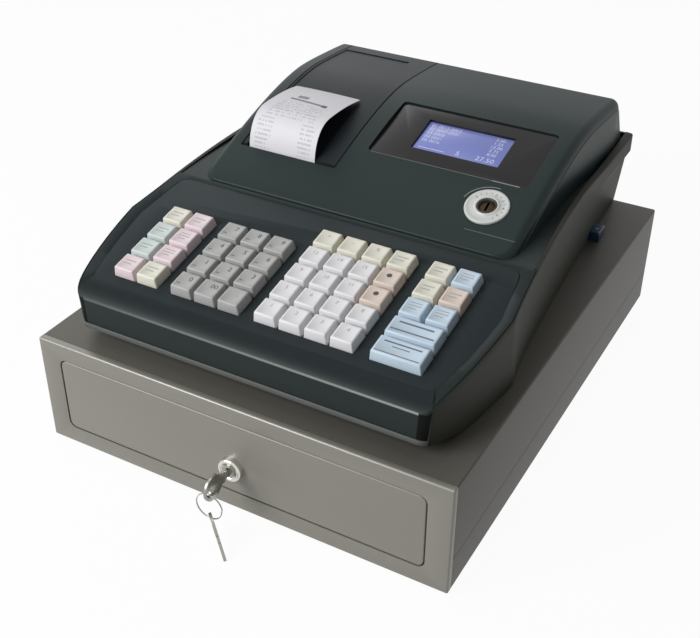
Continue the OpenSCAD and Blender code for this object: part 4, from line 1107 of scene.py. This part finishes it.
def one_key(name, c, r, tint, marks, columns=1):
    """A cap in its place, with its marks: figures as (text, size, x, y),
    bars as (width, depth, x, y) and dots as (radius, x, y)."""
    place = ON_DECK @ shift(col_x(c) + (columns - 1) * PITCH / 2, row_y(r), 0)
    cap = CAPS[columns].copy()
    cap.data = CAPS[columns].data.copy()
    cap.name = name
    bpy.context.scene.collection.objects.link(cap)
    cap.data.transform(place)
    ink = INK if tint == "grey" else FAINT_INK if columns == 1 else DEEP_INK
    paint(cap, KEY_PLASTIC[tint], ink, INK)
    top = place @ shift(0, 0, KEY_H - 0.16)
    extra = []
    for *size, x, y in marks:
        at = top @ shift(x, y, 0)
        if isinstance(size[0], str):
            extra.append(paint(figures("mark", *size, at), ink))
        elif len(size) == 1:
            extra.append(paint(drum("mark", size[0], 0, 0.06, at, 32), INK))
        else:
            w, d = size[0] / 2, size[1] / 2
            extra.append(paint(block("mark", (-w, -d, 0), (w, d, 0.06), at), ink))
    return join(cap, *extra)


def make_keys():
    for i, name in enumerate("7 8 9 4 5 6 1 2 3 0 00 dot".split()):
        marks = [("." if name == "dot" else name, 5.6, 2.6, 2.2)]
        if len(name) == 1:
            marks.append((2.6, 0.5, -3.8, -3.4))
        key = one_key("number_key_" + name, 2.5 + i % 3, 3 - i // 3, "grey", marks)
        dress(smooth(key, 50), f"num_key_{name}_body", "num_key_" + name, "key_grey")
    two = [(8.6, 0.7, 0, 2.0), (6.4, 0.7, -1, -1.2)]
    three = [(8.0, 0.6, 0, 3.4), (9.0, 0.6, 0, 0.8), (6.0, 0.6, -1, -2.0)]
    dot = [(1.9, 0, 1.4)]
    plain, last = "white white white white cream", "white white peach peach cream"
    columns = [
        ("left_keys_a", 0, 0, "pink mint mint cream", [two] * 4, "key_pink"),
        ("left_keys_b", 1, 0, "cream pink pink pink", [two, three, three, two], "key_pink"),
        ("dept_keys_a", 6, 0, plain, ["1", "5", "9", "13", "+"], "key_white"),
        ("dept_keys_b", 7, 0, plain, ["2", "6", "10", "14", "-"], "key_white"),
        ("dept_keys_c", 8, 0, plain, ["3", "7", "11", "15", "%"], "key_white"),
        ("dept_keys_d", 9, 0, last, ["4", "8", dot, dot, two], "key_white"),
        ("pay_keys_a", 10.5, 2, "blue cream cream", [three, two, two], "key_blue"),
        ("pay_keys_b", 11.5, 2, "blue peach blue", [three, two, three], "key_blue"),
    ]
    for name, c, first, tints, marks, slot in columns:
        caps = []
        for i, (tint, mark) in enumerate(zip(tints.split(), marks)):
            mark = [(mark, 4.4, 0, 2.4)] if isinstance(mark, str) else mark
            caps.append(one_key(name.replace("_keys", "_caps"), c, first + i, tint, mark))
        dress(smooth(join(*caps), 50), name + "_body", name, slot)
    doubles = [
        ("subtotal", 1, [(24, 1.4, 0, 3.4), (30, 1.1, 0, -3.6)]),
        ("total", 0, [(26, 1.2, 0, 3.8), (12, 0.7, 0, 0.6), (31, 0.9, 0, -5.6)]),
    ]
    for name, r, marks in doubles:
        wide = one_key(name + "_cap", 10.5, r, "blue", marks, 2)
        dress(smooth(wide, 50), name + "_key_body", name + "_key", "key_blue")
    for cap in CAPS.values():
        bpy.data.objects.remove(cap)


# ---- head ----


def soft_crown(y, drop=0):
    """The crown and the slanted back, run together over a small radius."""
    past = y - SLANT_Y
    a = read(CROWN, y) if past < 0 else SLANT_Z - 0.1726 * past
    a -= drop * 1.06
    b = SLANT_Z - SLANT * past - drop * math.hypot(1, SLANT)
    k = 0.9
    return a - k * math.log(1 + math.exp(min(60, (a - b) / k)))


def arch(y, inset, low):
    """Section of the head: flat sides, a small step and round shoulders under the crown."""
    half = head_half(y) - inset
    r = SHOULDER - min(inset, SHOULDER - 2)
    near = clamp(1 - (y - HEAD_FRONT) / 1.2)
    z = soft_crown(y, inset) - (1.2 * (1 - math.sqrt(1 - near * near)) if not inset else 0)
    z = max(z, low + r + 0.5)
    step = 0 if inset else 0.6 * clamp((y - HEAD_FRONT - 2) / 10)
    left = [(-half, z - r - 1.8 * step), (-half + step * 0.4, z - r - 1.2 * step)]
    for t in spread(0, math.pi / 2, 7):
        left.append((-half + step + (r - step) * (1 - math.cos(t)), z - r * (1 - math.sin(t))))
    ring = [(-half, low)] + left + [(-x, h) for x, h in reversed(left)] + [(half, low)]
    return [(x, y, h) for x, h in ring]


def crown_strip(name, ys, points):
    """Loft that follows the crown; points are (x, height above it)."""
    rows = [[(x, y, soft_crown(y) + z) for x, z in points] for y in ys]
    return skin(name, rows, IN_REGISTER)


LID_LEFT, LID_RIGHT, PAPER_X, PAPER_W = -112, -31, -77, 57.4


def make_head():
    ys = [138.2, 138.35, 138.65, 139, 139.4, 140, 141.4, 143, 145.5, 148, 150.1]
    ys += spread(153, 343, 46) + [345.5, 347, 348, 348.8, 349.5, 350.5, 352, 354, 358]
    ys += [363, 368, 369.4, 370]
    head = skin("head_shell", [arch(y, 0, 51.2) for y in ys], IN_REGISTER)
    inner = [140.7] + [y for y in ys if 142 < y < 366] + [367.5]
    pocket = block("pocket", (-65, -2, -4), (65, 64.8, -0.05), ON_WINDOW)
    carve(head, skin("cut", [arch(y, 2.5, 45) for y in inner], IN_REGISTER))
    carve(head, pocket, operation="UNION")
    edge = 0.55
    left, right = LID_LEFT - 0.4, LID_RIGHT + 0.4
    ring = [(left, -48), (left, -edge), (left - 2 * edge, edge)]
    ring += [(right + 2 * edge, edge), (right, -edge), (right, -48)]
    carve(head, crown_strip("cut", spread(174, 351.5, 40), ring))
    carve(head, outline("cut", rounded_rect(63.2, -0.2, 63, 3.5), -2, 14, ON_WINDOW))
    carve(head, block("cut", (-36.75, 13.9, -7), (35.75, 51.3, 0), ON_WINDOW))
    carve(head, drum("cut", 16.2, -0.5, 10, ON_DIAL), drum("cut", 9.7, -12, 8, ON_DIAL, 48))
    for side in (LID_LEFT - 4, LID_RIGHT + 0.4):
        ear = block("ear", (side, 342, 96.5), (side + 3.6, 349, 101.7), IN_REGISTER)
        join(head, soften(ear, 0.5, 2))
    dress(smooth(head, 32), "base", "head_cover", "dark_plastic", HEAD)


def printed_line(name, path, width=0.5, ink=PALE_INK_AND_HIGHLIGHT):
    """Thin raised line on the crown, along points in plan: print round the dial, and a painted
    highlight along the window's sill.
    """
    rows = []
    for i, (x, y) in enumerate(path):
        a, b = path[max(0, i - 1)], path[min(len(path) - 1, i + 1)]
        n = Vector((a[1] - b[1], b[0] - a[0])).normalized() * width / 2
        section = []
        for side, height in ((1, 0.06), (-1, 0.06), (-1, -0.1), (1, -0.1)):
            u, v = x + side * n.x, y + side * n.y
            section.append((u, v, crown(v) + height))
        rows.append(section)
    dress(skin(name, rows, IN_REGISTER), "base", None, "dial_white", ink)


def make_printed_lines():
    arc = []
    for a in spread(168, 84, 10):
        u, v = around(0, 0, 19.6, a)
        arc.append((DIAL_X + u, DIAL_Y + v * 0.93))
    printed_line("dial_line_upper", arc)
    printed_line("dial_line_lower", [(x, 152.6) for x in spread(84, 121.5, 5)], 0.4, WEAK_INK_AND_HIGHLIGHT)
    # The two sill lines are painted highlights along the window's front edge.
    sill = WINDOW_BACK - WINDOW_LENGTH * math.cos(math.radians(WINDOW_SLOPE)) - 0.75
    printed_line("window_sill_highlight", [(x, sill) for x in spread(-13, 84, 9)], 0.5, WEAK_INK_AND_HIGHLIGHT)
    printed_line("window_sill_end_highlight", [(x, sill) for x in spread(84, 105, 4)], 0.6)


def make_lid():
    """Paper lid with a scooped trough for the ticket and a groove behind it."""
    edge = 0.5
    left, right = LID_LEFT, LID_RIGHT
    ring = [(left, -2.5), (left, -edge), (left + edge, 0)]
    ring += [(right - edge, 0), (right, -edge), (right, -2.5)]
    lid = crown_strip("paper_door", spread(176.3, 348.4, 48), ring)
    x0, x1 = LID_LEFT + 2.5, PAPER_X + PAPER_W / 2 + 2.5
    front, back = 177.8, 229.5
    low, high = crown(front) - 7, crown(back) - 0.6
    scoop = [(front - 1.2, low - 1.2), (back, high - 1.2)]
    scoop += [(back, high + 0.5), (front - 1.2, crown(front) - 0.05)]
    hollow = [(front - 8, low - 7.7), (front, low)]
    hollow += [(mix(front, back, 0.5), mix(low, high, 0.5) - 0.8), (back, high)]
    hollow += [(back + 14, crown(back + 14) + 4), (front - 8, crown(front) + 8)]
    walls = skin("scoop", [[(x, y, z) for y, z in scoop] for x in (x0, x1)], IN_REGISTER)
    carve(lid, walls, operation="UNION")
    ends = (x0 + 1.5, x1 - 1.5)
    carve(lid, skin("cut", [[(x, y, z) for y, z in hollow] for x in ends], IN_REGISTER))
    groove = [(x0 - 0.5, -0.8), (x0 - 1.3, 1), (PAPER_X + 27, 1), (PAPER_X + 26.2, -0.8)]
    carve(lid, crown_strip("cut", spread(231, 334.4, 30), groove))
    for x in (LID_LEFT, LID_RIGHT - 4):
        lug = block("lug", (x, 343, 98.5), (x + 4, 348, 101.5), IN_REGISTER)
        join(lid, soften(lug, 0.5, 2))
    dress(smooth(lid, 32), "cover", "printer_cover", "dark_plastic", LID)


def make_window():
    glass = outline("window_plate", rounded_rect(62.95, 0.05, 62.75, 3.25), -1.95, 0, ON_WINDOW)
    soften(glass, 0.5, 3)
    hole = block("cut", (-34.75, 15.86, -3), (33.75, 49.36, 1), ON_WINDOW)
    edit(hole, faces=lambda c, n: n.z > 0.5)
    bpy.ops.transform.resize(value=(1.02, 1.04, 1))
    done()
    carve(glass, hole)
    dress(smooth(glass, 30), "base", "display_window", "window_gloss", GLOSS)

    panel = block("display", (-34.7, 15.9, -8), (33.7, 49.3, -1.5), ON_WINDOW)
    soften(panel, 0.3, 2)
    paint(panel, BLUE, PALE_BLUE)
    at = ON_WINDOW @ shift(0, 0, -1.5)
    thick, size, sum_size, sum_y = 0.02, 4.4, 6.6, 21.4
    rows = [("01 0012 0003", "3.50"), ("02 0047 0001", "1.25"), ("03 0008", "12.00")]
    rows += [("04 0031", "2.75"), ("05 0016", "8.00")]
    parts = []
    for i, (text, price) in enumerate(rows):
        y = 45.6 - size * i
        parts.append(figures("figures", text, size, at @ shift(-32, y, 0), thick, "LEFT"))
        parts.append(figures("figures", price, size, at @ shift(24, y, 0), thick))
    for text, x in (("27.50", 21.5), ("5", 0)):
        parts.append(figures("figures", text, sum_size, at @ shift(x, sum_y, 0), thick))
    parts.append(block("figures", (-31, 19.4, 0), (-10, 20.0, thick), at))
    for p in parts:
        paint(p, PALE_BLUE)
    dress(join(panel, *parts), "base", "lcd_panel", "display_blue")


def make_mode_lock():
    ring = [(7.4, -18), (9.5, -18), (9.5, -0.45), (16, -0.45), (16, 0.8), (15.8, 1.25)]
    ring += [(15.3, 1.5), (14.2, 1.5), (13.8, 1.3), (9.4, 1.3), (8.9, 1.6), (8.5, 2.0)]
    ring += [(7.9, 2.1), (7.4, 1.8)]
    dial = turned("mode_ring", ring, ON_DIAL)
    paint(dial, DIAL, INK)
    marks = []
    for i, text in enumerate("012345"):
        a = 150 - 36 * i
        figure, tick = (
            ON_DIAL @ tilt(turn, "Z") @ shift(out, 0, 1.3) @ tilt(-90, "Z")
            for turn, out in ((a, 11.6), (a - 18, 12.6))
        )
        marks.append(figures("mark", text, 3.0, figure))
        marks.append(block("mark", (-0.18, -1.0, 0), (0.18, 0.4, 0.05), tick))
    for m in marks:
        paint(m, INK)
    dress(smooth(join(dial, *marks), 45), "base", "mode_dial", "dial_white")
    core = [(0, -17), (5.3, -17), (5.3, 0.2), (4.9, 0.6), (0, 0.7)]
    plug = turned("mode_core", core, ON_DIAL)
    carve(plug, block("cut", (-0.9, -4.2, -4), (0.9, 4.2, 3), ON_DIAL))
    paint(plug, BRASS, BLACK)
    collar = [(5.4, 0.6), (5.4, -17), (7.25, -17), (7.25, 1.5), (6.9, 1.9), (6.3, 1.9), (5.8, 1.4)]
    shell = turned("collar", collar, ON_DIAL)
    paint(shell, BLACK)
    dress(smooth(join(plug, shell), 45), "mode_turn", "mode_plug", "lock_dark")


# ---- ticket and memory stick ----


def bow(points, t):
    """Place on a cubic curve."""
    a, b, c, d = points
    return a * (1 - t) ** 3 + 3 * b * t * (1 - t) ** 2 + 3 * c * t * t * (1 - t) + d * t**3


def make_ticket():
    """The printed ticket, curling out of the slot and back over the door."""
    rise = [(176, 177, 183, 199), (82, 93, 106.6, 107.2)]
    fall = [(199, 212, 228, 245.5), (107.2, 107.8, 107.4, 104.4)]
    path = [(175.6, 77.0)]
    path += [(bow(rise[0], t), bow(rise[1], t)) for t in spread(0, 1, 26)]
    path += [(bow(fall[0], t), bow(fall[1], t)) for t in spread(0.03, 1, 30)]
    length = [0]
    for p, q in zip(path, path[1:]):
        length.append(length[-1] + math.dist(p, q))
    along = [part / length[-1] for part in length]
    across = 12
    at_rest()
    bpy.ops.mesh.primitive_grid_add(x_subdivisions=across, y_subdivisions=len(path) - 1, size=1)
    o = new_name("ticket")
    for i, v in enumerate(o.data.vertices):
        row, column = divmod(i, across + 1)
        u = column / across - 0.5
        y, z = path[row]
        bend = 0.5 * along[row] ** 2 * (1 - (2 * u) ** 2)
        v.co = Vector((PAPER_X + PAPER_W * u, y, z - 0.5 + bend)) * MM
    layer = o.data.uv_layers.active.data
    for loop in o.data.loops:
        row, column = divmod(loop.vertex_index, across + 1)
        layer[loop.index].uv = (column / across, along[row])
    modify(o, "SOLIDIFY", thickness=0.22 * MM, offset=0)
    o.data.transform(IN_REGISTER)
    dress(smooth(o, 60), "cover", "receipt_paper", "paper", PAPER)


def make_stick():
    """Memory stick in the right cheek, with a white dot on top as a painted highlight."""
    stick = copy_of("memory_plug", nodes["memory_stick"])
    soften(stick, 0.9, 3, 50)
    paint(stick, STICK, DIAL)
    # The white dot is a painted highlight on the stick's top.
    dot = block("dot", (133, 303.6, 12.35), (135.6, 305.4, 12.5), IN_REGISTER)
    paint(dot, DIAL)
    dress(smooth(join(stick, dot), 45), "stick", "memory_stick", "stick_blue")


# ---- nodes that keep their own mesh ----

PLAIN = {
    "case_feet": RUBBER,
    "case_rails": ZINC,
    "case_screws": ZINC,
    "clip_rod": ZINC,
    "release_solenoid": COPPER,
    "latch_hook": ZINC,
    "kick_spring": STEEL,
    "key_board": GREEN,
    "printer_frame": STEEL,
    "printer_motor": ZINC,
    "platen_roller": ROLLER,
    "drive_gear": NYLON,
    "paper_roll": ROLL,
    "main_board": GREEN,
    "power_supply": BLACK,
}

# ---- floor and backdrop ----

FLOOR_WHITE = 0.95
FILL = 0.18


class Sky(Recipe):
    """The world's nodes, with the same arithmetic."""

    def __init__(self, world):
        self.tree = world.node_tree


def seen_directly(recipe):
    """One for what is seen, also by way of gloss or through glass, and nought for light."""
    kinds = ("Camera", "Glossy", "Transmission")
    rays = [recipe.node("ShaderNodeLightPath", out=f"Is {kind} Ray") for kind in kinds]
    return rays[0].maths("MAXIMUM", rays[1]).maths("MAXIMUM", rays[2])


def make_stage():
    """Seamless pale floor and backdrop, white where it is seen, with the soft shadow kept."""
    at_rest()
    bpy.ops.mesh.primitive_plane_add(size=30)
    floor = new_name("floor")
    r = Recipe("floor_white", (0.86, 0.86, 0.86), 0.9, Specular_IOR_Level=0.0)
    light = r.node("ShaderNodeEmission", Color=(1, 1, 1, 1), Strength=1.0)
    share, lit = seen_directly(r) * FLOOR_WHITE, Value(r, r.shader.outputs[0])
    mixed = r.node("ShaderNodeMixShader", **{"0": share, "1": lit, "2": light})
    r.tree.links.new(mixed.socket, r.tree.nodes["Material Output"].inputs[0])
    paint(floor, r.material)
    world = bpy.data.worlds.new("studio")
    bpy.context.scene.world = world
    world.use_nodes = True
    sky = Sky(world)
    back = sky.tree.nodes["Background"].inputs
    sky.plug(back["Strength"], FILL + (1 - FILL) * seen_directly(sky))
    sky.plug(back["Color"], (1, 1, 1, 1))


make_case()
make_drawer()
make_lock()
make_cheeks()
make_dark_body()
make_panel()
make_keys()
make_head()
make_printed_lines()
make_lid()
make_window()
make_mode_lock()
make_ticket()
make_stick()
for name, material in PLAIN.items():
    for slot in nodes[name].material_slots:
        slot.material = material
make_stage()

bpy.context.scene.view_settings.view_transform = "Standard"
